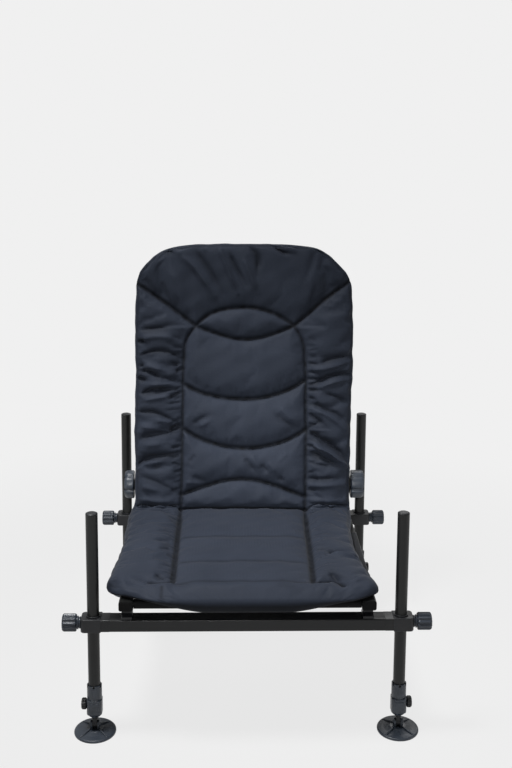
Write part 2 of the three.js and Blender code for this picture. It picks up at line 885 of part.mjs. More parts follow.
// A path through given stations, so that straight runs take one step and bends take more
class StationPath extends THREE.Curve {
  constructor(points) {
    super();
    this.points = points;
  }

  getPoint(share) {
    const place = share * (this.points.length - 1);
    const low = Math.min(Math.floor(place), this.points.length - 2);
    return this.points[low].clone().lerp(this.points[low + 1], place - low);
  }

  getSpacedPoints() {
    return this.points.map((point) => point.clone());
  }

  getTangentAt(share) {
    const last = this.points.length - 1;
    const here = Math.round(share * last);
    const before = this.points[Math.max(here - 1, 0)];
    const after = this.points[Math.min(here + 1, last)];
    return after.clone().sub(before).normalize();
  }
}

function swept(shape, points) {
  return new THREE.ExtrudeGeometry(shape, {
    steps: points.length - 1,
    extrudePath: new StationPath(points),
    curveSegments: backTubeSteps,
  });
}

// Back frame: one bent tube, up one side, round two corners and down the other
function backTube() {
  const stations = [];
  const bottom = socketFloor + gap;
  const turns = backBendSteps;
  stations.push(new THREE.Vector3(tubeHalf, 0, bottom));
  for (let i = 0; i <= turns; i += 1) {
    const angle = Math.PI / 2 * i / turns;
    stations.push(new THREE.Vector3(
      tubeHalf - backBend + backBend * Math.cos(angle), 0,
      backTubeLength - backBend + backBend * Math.sin(angle),
    ));
  }
  for (let i = 0; i <= turns; i += 1) {
    const angle = Math.PI / 2 * (1 + i / turns);
    stations.push(new THREE.Vector3(
      backBend - tubeHalf + backBend * Math.cos(angle), 0,
      backTubeLength - backBend + backBend * Math.sin(angle),
    ));
  }
  stations.push(new THREE.Vector3(-tubeHalf, 0, bottom));
  const section = circle(backTubeRadius);
  section.holes.push(circle(backTubeRadius - backTubeWall));
  return swept(section, stations);
}

mesh('back_frame', backTube(), framePaint, backrest);
const crossHalf = tubeHalf - backTubeRadius - gap;
mesh(
  'back_cross_tube',
  moved(
    hollowTube(X, backCrossRadius, backTubeWall, -crossHalf, crossHalf, smallSides),
    0, 0, backCrossHeight,
  ),
  framePaint, backrest,
);

// Mattress: rows of a soft section along its length. A row's middle bows to follow a curved seam,
// and its ends fan out beside the side seams. Seams draw the upper skin in by quiltDepth.
function padRow(row, fadeShares) {
  const [middle, seam, edge] = row.places;
  const { half, panelHalf } = row;
  const placeAt = (x) => {
    if (x <= panelHalf) {
      return middle + (seam - middle) * (x / panelHalf) ** 2;
    }
    return seam + (edge - seam) * (x - panelHalf) / (half - panelHalf);
  };
  const inside = panelHalf - quiltFlank;
  const outside = panelHalf + quiltFlank;
  const shoulder = Math.max(half - padShoulder, (outside + half) / 2);
  const flank = row.side * flankShare;
  const upper = [
    [half, rimShares[0], 0],
    [half - padRim, rimShares[1], row.outer * fadeShares[2] * flankShare],
    [shoulder, rimShares[2], row.outer * fadeShares[2]],
    [(shoulder + outside) / 2, 0, row.outer * fadeShares[1]],
    [outside, 0, Math.max(flank, row.outer * fadeShares[0])],
    [panelHalf, 0, Math.max(row.side, row.inner, row.outer)],
    [inside, 0, Math.max(flank, row.inner)],
    [inside / 2, 0, row.inner],
    [0, 0, row.inner],
  ];
  const lower = [
    [half, rimShares[0], 0],
    [shoulder, 0, 0],
    [half * bellyOuterShare, 0, 0],
    [half * bellyInnerShare, 0, row.sag],
  ];
  const centre = row.thickness / 2;
  const top = upper.map(([x, drop, groove]) => {
    const crown = groove + drop === 0 ? quiltCrown * row.round : 0;
    const rise = (row.thickness * row.top - centre) * row.round * (1 - drop);
    return [x, placeAt(x), centre + rise + crown - quiltDepth * groove];
  });
  const bottom = lower.map(([x, drop, sag]) => (
    [x, placeAt(x), centre * (1 - row.round * (1 - drop)) - sag * padBelly]
  ));
  const mirrored = (points) => points.map(([x, place, height]) => [-x, place, height]);
  return [
    ...mirrored(top.slice(0, -1)),
    ...[...top].reverse(),
    ...bottom,
    ...mirrored([...bottom].reverse()),
  ];
}

function softBody(rows, toPoint) {
  const count = rows[0].length;
  const last = (rows.length - 1) * count;
  const positions = rows.flat().flatMap((point) => toPoint(...point));
  const index = [];
  for (let i = 0; i < rows.length - 1; i += 1) {
    for (let j = 0; j < count; j += 1) {
      const next = (j + 1) % count;
      const [a, b] = [i * count + j, i * count + next];
      const [c, d] = [a + count, b + count];
      if (rows[i][j][0] + rows[i][next][0] > 0) {
        index.push(a, b, c, b, d, c);
      } else {
        index.push(a, b, d, a, d, c);
      }
    }
  }
  const cap = (row) => {
    const outline = [...row].reverse().map(([x, , height]) => new THREE.Vector2(x, height));
    const faces = THREE.ShapeUtils.triangulateShape(outline, []);
    return faces.map((face) => face.map((corner) => count - 1 - corner));
  };
  for (const [a, b, c] of cap(rows[0])) {
    index.push(a, b, c);
  }
  for (const [a, b, c] of cap(rows[rows.length - 1])) {
    index.push(last + a, last + c, last + b);
  }
  const geometry = new THREE.BufferGeometry();
  geometry.setAttribute('position', new THREE.Float32BufferAttribute(positions, 3));
  geometry.setIndex(index);
  geometry.computeVertexNormals();
  return geometry;
}

// Seat pad rows from the nose to the crease: place, half width, top, roundness, belly, then how
// deep the seams are across the panel, beside it and along its sides
const seatShares = [
  [-1, 0.93, 0.78, 0.35, 0, 0, 0, 0],
  [-0.985, 0.965, 0.86, 0.7, 0, 0, 0, 0],
  [-0.955, 0.99, 0.95, 0.93, 0.2, 0, 0, 0],
  [-0.91, 1, 1, 1, 0.6, 0, 0, 0],
  [-0.875, 0.996, 1, 1, 1, 0.1, 0.4, 0.4],
  [-0.838, 0.99, 1, 1, 1, 0.22, 1, 1],
  [-0.8, 0.985, 1, 1, 1, 0, 0.4, 1],
  [-0.7, 0.977, 1, 1, 1, 0, 0, 1],
  [-0.563, 0.97, 1, 1, 1, 0.2, 0, 1],
  [-0.357, 0.965, 1, 1, 1, 0, 0, 1],
  [-0.151, 0.962, 1, 1, 1, 0.2, 0, 1],
  [0.15, 0.962, 1, 1, 1, 0, 0, 1],
  [0.6, 0.96, 1, 1, 1, 0, 0, 1],
  [0.87, 0.955, 1, 1, 1, 0.1, 0, 1],
  [1, 0.93, 1, 1, 0.8, 0.2, 0, 1],
];

// The same for the stretch that turns up into the back, with places as shares of its turn
const seatBendShares = [
  [0.2, 0.81, 1, 1, 0.5, 0.3, 0.2, 0.8],
  [0.45, 0.8, 1, 1, 0.2, 0.5, 0.4, 0.7],
  [0.7, 0.79, 1, 1, 0, 0.8, 0.6, 0.8],
  [1, 0.78, 1, 0.75, 0, 0.6, 0.4, 0.6],
];

function seatPad() {
  const seatPadFront = railFront + seatPadNose;
  const bendFrom = pivotBack - seatBendInset;
  const bendLength = seatBendRadius * seatBendShare * Math.PI * 2;
  const row = (place, [, half, top, round, sag, inner, outer, side]) => padRow({
    places: [place, place, place],
    half: half * (railHalf + seatPadOverhang),
    panelHalf: quiltHalf,
    thickness: seatPadTop - seatPadBottom,
    top, round, sag, inner, outer, side,
  }, hookFadeShares);
  const rows = [
    ...seatShares.map((shares) => row(shares[0] * (shares[0] < 0 ? seatPadFront : bendFrom), shares)),
    ...seatBendShares.map((shares) => row(bendFrom + shares[0] * bendLength, shares)),
  ];
  return softBody(rows, (x, place, height) => {
    const turn = Math.max(0, place - bendFrom) / seatBendRadius;
    const reach = seatBendRadius - height;
    return [
      x,
      Math.min(place, bendFrom) + reach * Math.sin(turn),
      seatPadBottom + seatBendRadius - reach * Math.cos(turn),
    ];
  });
}

mesh('seat_pad', seatPad(), cushionCloth, frame);

// Back pad rows up from the crease: places at the middle, the side seams and the edges, half
// width, roundness, then how deep the seams are across the panel, beside it and along its sides.
// The curved seams are a lumbar arc, two arcs above it and the two sides of a lens, from whose
// corners diagonal seams run to the edges.
const backShares = [
  [-1, -1, -1, 0.775, 0.4, 0, 0, 0],
  [-0.5, -0.88, -0.88, 0.78, 0.85, 0, 0, 0.3],
  [0.01, -0.75, -0.7, 0.78, 1, 0.4, 0, 0.6],
  [0.028, -0.5, -0.4, 0.78, 1, 1, 0, 1],
  [0.048, -0.15, 0.01, 0.78, 1, 0.4, 0, 1],
  [0.088, 0.062, 0.0585, 0.782, 1, 0, 0, 1],
  [0.102, 0.076, 0.068, 0.95, 1, 0, 0, 1],
  [0.133, 0.206, 0.166, 0.968, 1, 0.4, 0, 1],
  [0.154, 0.233, 0.216, 0.976, 1, 1, 0, 1],
  [0.176, 0.257, 0.257, 0.98, 1, 0.4, 0, 1],
  [0.257, 0.332, 0.332, 0.988, 1, 0, 0, 1],
  [0.336, 0.405, 0.405, 0.993, 1, 0.4, 0, 1],
  [0.357, 0.432, 0.432, 0.995, 1, 1, 0, 1],
  [0.379, 0.458, 0.458, 0.997, 1, 0.4, 0, 1],
  [0.482, 0.54, 0.56, 1, 1, 0, 0, 1],
  [0.581, 0.625, 0.81, 0.992, 1, 0.4, 0.4, 1],
  [0.603, 0.66, 0.844, 0.985, 1, 1, 1, 1],
  [0.625, 0.666, 0.864, 0.978, 1, 0.4, 0.4, 0.6],
  [0.669, 0.671, 0.882, 0.965, 1, 0, 0, 0.5],
  [0.714, 0.677, 0.9, 0.935, 1, 0.4, 0, 0.6],
  [0.736, 0.684, 0.915, 0.908, 1, 1, 0, 0.7],
  [0.758, 0.704, 0.93, 0.878, 1, 0.4, 0, 0.3],
  [0.84, 0.82, 0.95, 0.83, 1, 0, 0, 0],
  [0.93, 0.925, 0.968, 0.785, 1, 0, 0, 0],
  [0.968, 0.967, 0.983, 0.735, 0.95, 0, 0, 0],
  [0.988, 0.988, 0.992, 0.7, 0.72, 0, 0, 0],
  [1, 1, 0.997, 0.67, 0.31, 0, 0, 0],
];

function panelHalfAt(seamShare) {
  const swell = THREE.MathUtils.clamp((lensShare - seamShare) / lensTaperShare, 0, 1);
  return lensHalf + (quiltHalf - lensHalf) * Math.sqrt(swell);
}

function backPad() {
  const rows = backShares.map(([middle, seam, edge, half, round, inner, outer, side]) => padRow({
    places: [middle, seam, edge].map((share) => share * (share < 0 ? backPadBottom : backPadTop)),
    half: half * (tubeHalf + backPadOverhang),
    panelHalf: panelHalfAt(seam),
    thickness: backPadFront - backPadRear,
    top: 1,
    sag: 0,
    round, inner, outer, side,
  }, diagonalFadeShares));
  const pad = softBody(rows, (x, place, height) => [x, place, backPadRear + height]);
  pad.rotateX(Math.PI / 2);
  return pad;
}

mesh('back_pad', backPad(), cushionCloth, backrest);

// Sling: a cloth flap from each rail to the slit, with a row of eyelets pressed into it
const flapOuter = railHalf - railWidth / 2 - gap;
const flapTop = railTop - slingDrop;
const flapLow = flapTop - flapThickness;
const eyeletX = flapSlit + eyeletInset;
const cordHigh = flapTop + eyeletRise + gap + cordRadius;
const cordLow = flapLow - eyeletRise - gap - cordRadius;

function eyeletPlace(i) {
  const first = eyeletMargin - flapFront;
  const last = flapRear - eyeletMargin;
  return first + (last - first) * i / (eyeletCount - 1);
}

function flap(side) {
  const hem = box(
    flapOuter - flapHem, flapOuter, -flapFront, flapRear, flapLow - flapHem, flapTop,
  );
  let cloth = solid(box(flapSlit, flapOuter, -flapFront, flapRear, flapLow, flapTop));
  cloth = joined(cloth, solid(hem));
  for (let i = 0; i < eyeletCount; i += 1) {
    const low = flapLow - eyeletRise;
    const high = flapTop + eyeletRise;
    const ring = moved(rod(Z, eyeletRadius, low, high, tinySides), eyeletX, eyeletPlace(i), 0);
    const hole = moved(
      drill(Z, eyeletHole, low - overrun, high + overrun, tinySides), eyeletX, eyeletPlace(i), 0,
    );
    cloth = cut(joined(cloth, solid(ring)), solid(hole));
  }
  return sided(cloth, side);
}

for (const { name, side } of sides) {
  mesh(`sling_flap_${name}`, flap(side), slingCloth, frame);
}

// Lacing: one cord with its middle across the front pair, crossing from pair to pair, and a
// loose end below each rear eyelet. It comes to each eyelet above the cloth and leaves below.
function throughEyelet(x, y, arriveFrom, leaveTo) {
  const bend = cordBend;
  const arrive = new THREE.Vector2(arriveFrom.x - x, arriveFrom.y - y).normalize();
  const leave = new THREE.Vector2(leaveTo.x - x, leaveTo.y - y).normalize();
  const points = [];
  for (let i = 0; i <= cordBendSteps; i += 1) {
    const turn = Math.PI / 2 * i / cordBendSteps;
    const out = bend * (1 - Math.sin(turn));
    points.push(new THREE.Vector3(
      x + arrive.x * out, y + arrive.y * out, cordHigh - bend * (1 - Math.cos(turn)),
    ));
  }
  for (let i = 0; i <= cordBendSteps; i += 1) {
    const turn = Math.PI / 2 * i / cordBendSteps;
    const out = bend * (1 - Math.cos(turn));
    points.push(new THREE.Vector3(
      x + leave.x * out, y + leave.y * out, cordLow + bend * (1 - Math.sin(turn)),
    ));
  }
  return points;
}

function strand(firstSide, highShare) {
  const stops = [];
  for (let i = 0; i < eyeletCount; i += 1) {
    const side = i % 2 === 0 ? firstSide : -firstSide;
    stops.push(new THREE.Vector2(side * eyeletX, eyeletPlace(i)));
  }
  const opposite = new THREE.Vector2(-firstSide * eyeletX, eyeletPlace(0));
  const lastStop = stops[eyeletCount - 1];
  const endPoint = new THREE.Vector2(
    lastStop.x - Math.sign(lastStop.x) * cordTail / 3, lastStop.y + cordTail,
  );
  const points = [];
  stops.forEach((stop, i) => {
    const from = i === 0 ? opposite : stops[i - 1];
    const to = i === eyeletCount - 1 ? endPoint : stops[i + 1];
    points.push(...throughEyelet(stop.x, stop.y, from, to));
    if (i < eyeletCount - 1) {
      const rise = stop.clone().lerp(to, highShare);
      const risen = stop.clone().lerp(to, highShare + cordRiseShare);
      points.push(new THREE.Vector3(rise.x, rise.y, cordLow));
      points.push(new THREE.Vector3(risen.x, risen.y, cordHigh));
    } else {
      points.push(new THREE.Vector3(endPoint.x, endPoint.y, cordLow - cordTailDrop));
    }
  });
  return points;
}

const leftStrand = strand(-1, cordEarlyShare);
const rightStrand = strand(1, cordLateShare);
const cordPath = [...leftStrand.reverse(), ...rightStrand];
const cordSection = new THREE.Shape();
for (let i = 0; i < cordSides; i += 1) {
  const turn = 2 * Math.PI * i / cordSides;
  const x = cordRadius * Math.cos(turn);
  const y = cordRadius * Math.sin(turn);
  if (i === 0) {
    cordSection.moveTo(x, y);
  } else {
    cordSection.lineTo(x, y);
  }
}
mesh('lacing_cord', swept(cordSection, cordPath), elastic, frame);

// The origin is on the floor, under the middle of the chair's bounding box
chair.updateMatrixWorld(true);
const bounds = new THREE.Box3().setFromObject(chair, true);
chair.position.y = -(bounds.min.y + bounds.max.y) / 2;
chair.updateMatrixWorld(true);

export default chair;
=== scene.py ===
import math

import bmesh
import bpy
import numpy as np
from mathutils import Matrix, Vector


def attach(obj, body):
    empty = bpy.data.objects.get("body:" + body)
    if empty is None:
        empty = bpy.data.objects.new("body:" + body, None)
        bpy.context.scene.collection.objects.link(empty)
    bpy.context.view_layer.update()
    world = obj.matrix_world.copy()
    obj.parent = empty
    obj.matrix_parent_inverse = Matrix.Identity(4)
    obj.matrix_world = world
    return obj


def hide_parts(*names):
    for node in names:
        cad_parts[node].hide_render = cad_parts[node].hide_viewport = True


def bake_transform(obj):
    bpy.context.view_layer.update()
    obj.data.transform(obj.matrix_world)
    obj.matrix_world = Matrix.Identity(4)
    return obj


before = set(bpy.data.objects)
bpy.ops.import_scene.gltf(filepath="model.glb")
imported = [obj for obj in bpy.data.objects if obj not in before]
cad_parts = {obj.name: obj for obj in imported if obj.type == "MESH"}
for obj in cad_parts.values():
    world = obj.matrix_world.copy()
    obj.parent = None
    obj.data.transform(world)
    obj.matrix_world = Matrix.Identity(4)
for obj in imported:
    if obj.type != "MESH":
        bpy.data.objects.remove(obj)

rng = np.random.default_rng(11)
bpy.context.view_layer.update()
scene = bpy.context.scene
MM = 0.001
TILT = math.radians(4)
RECLINE = math.radians(8)
SEAT_ORIGIN = (0, 0.014792, 0.2355)
HINGE = (0, 190, 118)
BAR_MIDDLE = -13
SHARP = 35

# Half spans of the legs, places of the crossbars in the seat frame, and of the legs' axes on the floor
ROWS = {"front": (320.0, -308.0, -310.428), "rear": (304.0, 308.0, 307.077)}
SIDES = {"left": -1, "right": 1}
MIRROR = {"left": Matrix.Scale(-1, 4, (1, 0, 0)), "right": Matrix.Identity(4)}


# Places in the part frame
def chair_at(x=0.0, v=0.0, w=0.0):
    """The tilted seat frame: x across, v back, w up, in mm from the middle of the crossbar tops."""
    base = Matrix.Translation(SEAT_ORIGIN) @ Matrix.Rotation(-TILT, 4, "X")
    return base @ Matrix.Translation((x * MM, v * MM, w * MM))


def back_at(x=0.0, y=0.0, z=0.0):
    """The backrest's own frame, from the hinge axis up along the back tubes."""
    return (chair_at(*HINGE) @ Matrix.Rotation(-RECLINE, 4, "X")
            @ Matrix.Translation((x * MM, y * MM, z * MM)))


def leg_at(row, side, h=0.0):
    """A corner's leg, h mm up its axis from the floor."""
    x, _, y = ROWS[row]
    axis = Vector((0, math.sin(TILT), math.cos(TILT)))
    start = Vector((SIDES[side] * x, y, 0)) * MM
    return Matrix.Translation(start + axis * h * MM) @ Matrix.Rotation(-TILT, 4, "X")


# Materials
def wire(tree, target, inputs):
    """Sets sockets, by name or number, to a value or to the output that feeds them."""
    for key, value in inputs.items():
        if isinstance(value, bpy.types.NodeSocket):
            tree.links.new(value, target.inputs[key])
        else:
            target.inputs[key].default_value = value


def add(tree, kind, inputs, **settings):
    made = tree.nodes.new("ShaderNode" + kind)
    for key, value in settings.items():
        setattr(made, key, value)
    wire(tree, made, inputs)
    return made


def coords(tree):
    return add(tree, "TexCoord", {}).outputs["Object"]


def noise(tree, scale, detail, vector=None):
    return add(tree, "TexNoise", {
        "Scale": scale, "Detail": detail, "Roughness": 0.6, "Vector": vector or coords(tree),
    }).outputs["Fac"]


def ramp(tree, factor, *stops):
    made = add(tree, "ValToRGB", {"Fac": factor})
    for element, (place, colour) in zip(made.color_ramp.elements, stops):
        element.position = place
        element.color = (*colour, 1)
    return made.outputs["Color"]


def span(tree, factor, low, high, out_low, out_high):
    return add(tree, "MapRange", {
        "Value": factor, "From Min": low, "From Max": high, "To Min": out_low, "To Max": out_high,
    }).outputs["Result"]


def bump(tree, shader, *layers):
    """Stacks bump layers, each a height, strength and distance in metres."""
    last = {}
    for height, strength, distance in layers:
        inputs = {"Height": height, "Strength": strength, "Distance": distance, **last}
        last = {"Normal": add(tree, "Bump", inputs).outputs["Normal"]}
    wire(tree, shader, last)


def weave(tree, pitch):
    """A plain weave from two crossed waves, so that it needs no UVs."""
    inputs = {"Scale": 1 / (pitch * 20), "Distortion": 0.4, "Detail Scale": 2.0, "Vector": coords(tree)}
    waves = [add(tree, "TexWave", inputs, wave_type="BANDS", bands_direction=way).outputs["Fac"]
             for way in ("X", "Z")]
    return add(tree, "Math", dict(enumerate(waves)), operation="MULTIPLY").outputs[0]


def with_painted_shade(tree, colour, attribute, share):
    """Scales a colour down where a vertex attribute is 1: painted shade in the seams, folds and hem and on
    the under side.
    """
    seam = add(tree, "Attribute", {}, attribute_name=attribute).outputs["Fac"]
    inputs = {0: colour, "Scale": span(tree, seam, 0.0, 1.0, 1.0, share)}
    return add(tree, "VectorMath", inputs, operation="SCALE").outputs["Vector"]


def material(name, base, rough, metal=0.0, spec=0.5, sheen=0.0, coat=0.0, coat_rough=0.3, sheen_rough=0.5):
    made = bpy.data.materials.new(name)
    made.use_nodes = True
    shader = made.node_tree.nodes["Principled BSDF"]
    wire(made.node_tree, shader, {
        "Base Color": (*base, 1), "Roughness": rough, "Metallic": metal, "Specular IOR Level": spec,
        "Sheen Weight": sheen, "Sheen Roughness": sheen_rough,
        "Coat Weight": coat, "Coat Roughness": coat_rough,
    })
    return made, made.node_tree, shader


def cloth_material(name, dark, light, pitch, rough, sheen, seams=False):
    made, tree, shader = material(name, light, rough, 0, 0.13, sheen, 0, 0.3, 0.45)
    cloud = noise(tree, 9.0, 5.0)
    fine = noise(tree, 900.0, 2.0)
    mixed = add(tree, "Mix", {0: 0.5, 2: cloud, 3: fine}, data_type="FLOAT").outputs[0]
    colour = ramp(tree, mixed, (0.3, dark), (0.7, light))
    # Painted shade: the seam attribute darkens seams, folds and the hem; the under attribute darkens the
    # under side.
    if seams:
        colour = with_painted_shade(tree, with_painted_shade(tree, colour, "seam", 0.12), "under", 0.2)
    wire(tree, shader, {
        "Base Color": colour, "Roughness": span(tree, cloud, 0.3, 0.7, rough - 0.06, rough + 0.06),
    })
    bump(tree, shader, (noise(tree, 60.0, 3.0), 0.12, 0.002), (weave(tree, pitch), 0.16, pitch * 0.5),
         (fine, 0.12, 0.0004))
    return made


def plastic_material(name, base, worn, rough, spec=0.4):
    made, tree, shader = material(name, base, rough, 0, spec)
    cloud = noise(tree, 30.0, 6.0)
    fine = noise(tree, 2600.0, 2.0)
    wire(tree, shader, {
        "Base Color": ramp(tree, cloud, (0.35, base), (0.75, worn)),
        "Roughness": span(tree, fine, 0.3, 0.7, rough - 0.08, rough + 0.1),
    })
    bump(tree, shader, (fine, 0.25, 0.0003), (cloud, 0.05, 0.001))
    return made


def paint_material(name, base, worn, rough, metal=0.0, coat=0.12, spec=0.32):
    made, tree, shader = material(name, base, rough, metal, spec, 0, coat, 0.25)
    cloud = noise(tree, 18.0, 6.0)
    wire(tree, shader, {
        "Base Color": ramp(tree, cloud, (0.35, base), (0.8, worn)),
        "Roughness": span(tree, cloud, 0.3, 0.7, rough - 0.05, rough + 0.09),
    })
    bump(tree, shader, (noise(tree, 700.0, 3.0), 0.12, 0.0004))
    return made


def brushed_material(name, base, rough):
    made, tree, shader = material(name, base, rough, 1.0)
    drawn = add(tree, "Mapping", {"Scale": (1, 1, 40), "Vector": coords(tree)}).outputs["Vector"]
    fine = noise(tree, 400.0, 3.0, drawn)
    wire(tree, shader, {"Roughness": span(tree, fine, 0.3, 0.7, rough - 0.08, rough + 0.12)})
    bump(tree, shader, (fine, 0.1, 0.0003))
    return made


# The cushion cloth takes the painted shade of the mattress's seam and under attributes.
CUSHION = cloth_material(
    "cushion_cloth", (0.0245, 0.0305, 0.0450), (0.0350, 0.0430, 0.0630), 0.0011, 0.66, 0.05, True)
SLING = cloth_material("sling_cloth", (0.008, 0.009, 0.011), (0.014, 0.015, 0.018), 0.0009, 0.86, 0.15)
THREAD = cloth_material("seam_thread", (0.012, 0.015, 0.021), (0.022, 0.026, 0.036), 0.0006, 0.7, 0.1)
ELASTIC = cloth_material("elastic_cord", (0.010, 0.011, 0.013), (0.020, 0.021, 0.024), 0.0007, 0.75, 0.15)
FRAME_BLACK = paint_material("frame_black", (0.0066, 0.0072, 0.0072), (0.0118, 0.0124, 0.0122), 0.44)
BAR_BLACK = paint_material(
    "bar_black", (0.0054, 0.0060, 0.0067), (0.0094, 0.0100, 0.0108), 0.36, 0.12, 0.05, 0.38)
BLUE_GREY = plastic_material("blue_grey_plastic", (0.033, 0.042, 0.058), (0.047, 0.059, 0.078), 0.34, 0.5)
BLACK_PLASTIC = plastic_material("black_plastic", (0.0095, 0.0102, 0.0122), (0.019, 0.020, 0.023), 0.42)
# Shaded black: a darker copy of the black plastic, painted shade for the front tube and the rail ends under
# the seat.
SHADED_BLACK = plastic_material(
    "shaded_black", (0.0026, 0.0027, 0.0029), (0.0046, 0.0046, 0.0048), 0.6, 0.12)
STEEL = brushed_material("bolt_steel", (0.34, 0.35, 0.36), 0.32)
BRASS_GREY = brushed_material("eyelet_metal", (0.52, 0.53, 0.55), 0.24)


# Mesh helpers: a part is a list of points in mm and a list of faces
def new_object(name, data):
    obj = bpy.data.objects.new(name, data)
    scene.collection.objects.link(obj)
    return obj


def new_mesh(name, part, place, weld=True):
    """A part set in its place; its faces turn over where the place mirrors it."""
    mirrored = place.to_3x3().determinant() < 0
    mesh = bpy.data.meshes.new(name)
    points = [place @ (Vector(v) * MM) for v in part[0]]
    mesh.from_pydata(points, [], [tuple(reversed(f)) if mirrored else tuple(f) for f in part[1]])
    mesh.update()
    if weld:
        bm = bmesh.new()
        bm.from_mesh(mesh)
        bmesh.ops.remove_doubles(bm, verts=bm.verts, dist=1e-6)
        bmesh.ops.recalc_face_normals(bm, faces=bm.faces)
        bm.to_mesh(mesh)
        bm.free()
        mesh.update()
    return mesh


def shade(obj, sharp=SHARP):
    """Smooth faces, with sharp edges over that many degrees. 180 leaves no edge sharp."""
    obj.data.shade_smooth()
    if sharp < 180:
        obj.data.set_sharp_from_angle(angle=math.radians(sharp))


def wear(obj, look, sharp=SHARP):
    obj.data.materials.clear()
    obj.data.materials.append(look)
    shade(obj, sharp)


def build(name, part, place, look, body, replaced=None, sharp=SHARP, weld=True):
    """A piece of the scene in one material, set under its body, hiding the frame's node that it replaces.
    """
    obj = new_object(name, new_mesh(name, part, place, weld))
    wear(obj, look, sharp)
    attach(obj, body)
    if replaced:
        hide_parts(replaced)
    return obj


def merged(*parts):
    verts, faces = [], []
    for v, f in parts:
        start = len(verts)
        verts += v
        faces += [tuple(i + start for i in face) for face in f]
    return verts, faces


def moved(part, matrix):
    return [tuple(matrix @ Vector(v)) for v in part[0]], part[1]


def shift(x=0.0, y=0.0, z=0.0):
    return Matrix.Translation((x, y, z))


def spin(degrees, axis):
    return Matrix.Rotation(math.radians(degrees), 4, axis)


def at(part, **offset):
    return moved(part, shift(**offset))


AXIS = {
    "Z": Matrix.Identity(4),
    "X": Matrix(((0, 0, 1, 0), (0, 1, 0, 0), (-1, 0, 0, 0), (0, 0, 0, 1))),
}


def turned(profile, segments=48, axis="Z", radius_at=None):
    """Revolves a profile of (radius, height) points. It ends on the axis where a radius is 0."""
    verts, rings, faces = [], [], []
    for r, h in profile:
        rings.append(range(len(verts), len(verts) + (segments if r else 1)))
        for i in range(len(rings[-1])):
            a = 2 * math.pi * i / segments
            rr = r * (radius_at(a, h, r) if radius_at and r else 1.0)
            verts.append((rr * math.cos(a), rr * math.sin(a), h))
    if profile[0] == profile[-1]:
        rings[-1] = rings[0]
    for low, high in zip(rings, rings[1:]):
        if len(low) == len(high) == 1:
            continue
        for i in range(segments):
            j = (i + 1) % segments
            corners = (low[i % len(low)], low[j % len(low)], high[j % len(high)], high[i % len(high)])
            faces.append(tuple(dict.fromkeys(corners)))
    return moved((verts, faces), AXIS[axis])


def rounded(profile, radius=1.0, steps=3):
    """Rounds the corners of an open (radius, height) profile."""
    out = [profile[0]]
    for a, b, c in zip(profile, profile[1:], profile[2:]):
        pa, pb, pc = Vector(a), Vector(b), Vector(c)
        one, two = (pa - pb), (pc - pb)
        r = min(radius, one.length * 0.45, two.length * 0.45)
        p, q = pb + one.normalized() * r, pb + two.normalized() * r
        for k in range(steps + 1):
            t = k / steps
            s = p.lerp(pb, t).lerp(pb.lerp(q, t), t)
            out.append((s.x, s.y))
    out.append(profile[-1])
    return out


def closed_skin(rows, count):
    """Quads between rings of count points, then both ends."""
    faces = skin(rows, count, count)
    faces.append(tuple(reversed(range(count))))
    faces.append(tuple((rows - 1) * count + k for k in range(count)))
    return faces


def skin(rows, count, across):
    return [(i * count + k, i * count + (k + 1) % count,
             (i + 1) * count + (k + 1) % count, (i + 1) * count + k)
            for i in range(rows - 1) for k in range(across)]


def prism(outline, low, high, edge=1.0, steps=3):
    """A closed outline of (x, y) points, counter-clockwise, raised from low to high with rounded rims."""
    pts = [Vector(p) for p in outline]
    inward = []
    for a, b, c in zip(pts[-1:] + pts, pts, pts[1:] + pts[:1]):
        n1 = Vector((-(b - a).y, (b - a).x)).normalized()
        n2 = Vector((-(c - b).y, (c - b).x)).normalized()
        n = n1 + n2
        inward.append(n / max(n.length_squared / 2, 0.3))
    turns = [math.pi / 2 * k / steps for k in range(steps + 1)]
    levels = [(edge * (1 - math.sin(t)), low + edge * (1 - math.cos(t))) for t in turns]
    levels += [(edge * (1 - math.cos(t)), high - edge * (1 - math.sin(t))) for t in turns]
    verts = []
    for inset, z in levels:
        verts += [(*(p + n * inset), z) for p, n in zip(pts, inward)]
    return verts, closed_skin(len(levels), len(pts))


def box(x, y, low, high, edge, steps, middle=(0, 0)):
    """A prism on a rectangle of half sizes x and y about its middle."""
    cx, cy = middle
    outline = [(cx - x, cy - y), (cx + x, cy - y), (cx + x, cy + y), (cx - x, cy + y)]
    return prism(outline, low, high, edge, steps)


def arc(cx, cy, r, start, end, steps):
    turns = [math.radians(start + (end - start) * k / steps) for k in range(steps + 1)]
    return [(cx + r * math.cos(t), cy + r * math.sin(t)) for t in turns]


def round_rect(width, height, corner, steps=5):
    x, y = width / 2 - corner, height / 2 - corner
    return [p for i, (cx, cy) in enumerate(((x, y), (-x, y), (-x, -y), (x, -y)))
            for p in arc(cx, cy, corner, 90 * i, 90 * i + 90, steps)]


def sweep(path, radius, sides):
    """A round tube along a list of points, with ends closed."""
    pts = [Vector(p) for p in path]
    verts = []
    tangent = (pts[1] - pts[0]).normalized()
    up = Vector((0, 0, 1)) if abs(tangent.z) < 0.9 else Vector((0, 1, 0))
    side = tangent.cross(up).normalized()
    for i, p in enumerate(pts):
        before, after = pts[max(i - 1, 0)], pts[min(i + 1, len(pts) - 1)]
        t = (after - before).normalized()
        side = (side - t * side.dot(t)).normalized()
        other = t.cross(side).normalized()
        stretch = 1.0
        if 0 < i < len(pts) - 1:
            one, two = (p - before).normalized(), (after - p).normalized()
            stretch = 1 / max(math.sqrt((1 + one.dot(two)) / 2), 0.5)
        for k in range(sides):
            a = 2 * math.pi * k / sides
            verts.append(tuple(p + side * math.cos(a) * radius * stretch ** 0.5
                               + other * math.sin(a) * radius))
    return verts, closed_skin(len(pts), sides)


def apply_modifiers(obj):
    obj_now = obj.evaluated_get(bpy.context.evaluated_depsgraph_get())
    result = bpy.data.meshes.new_from_object(obj_now)
    obj.modifiers.clear()
    obj.data = result


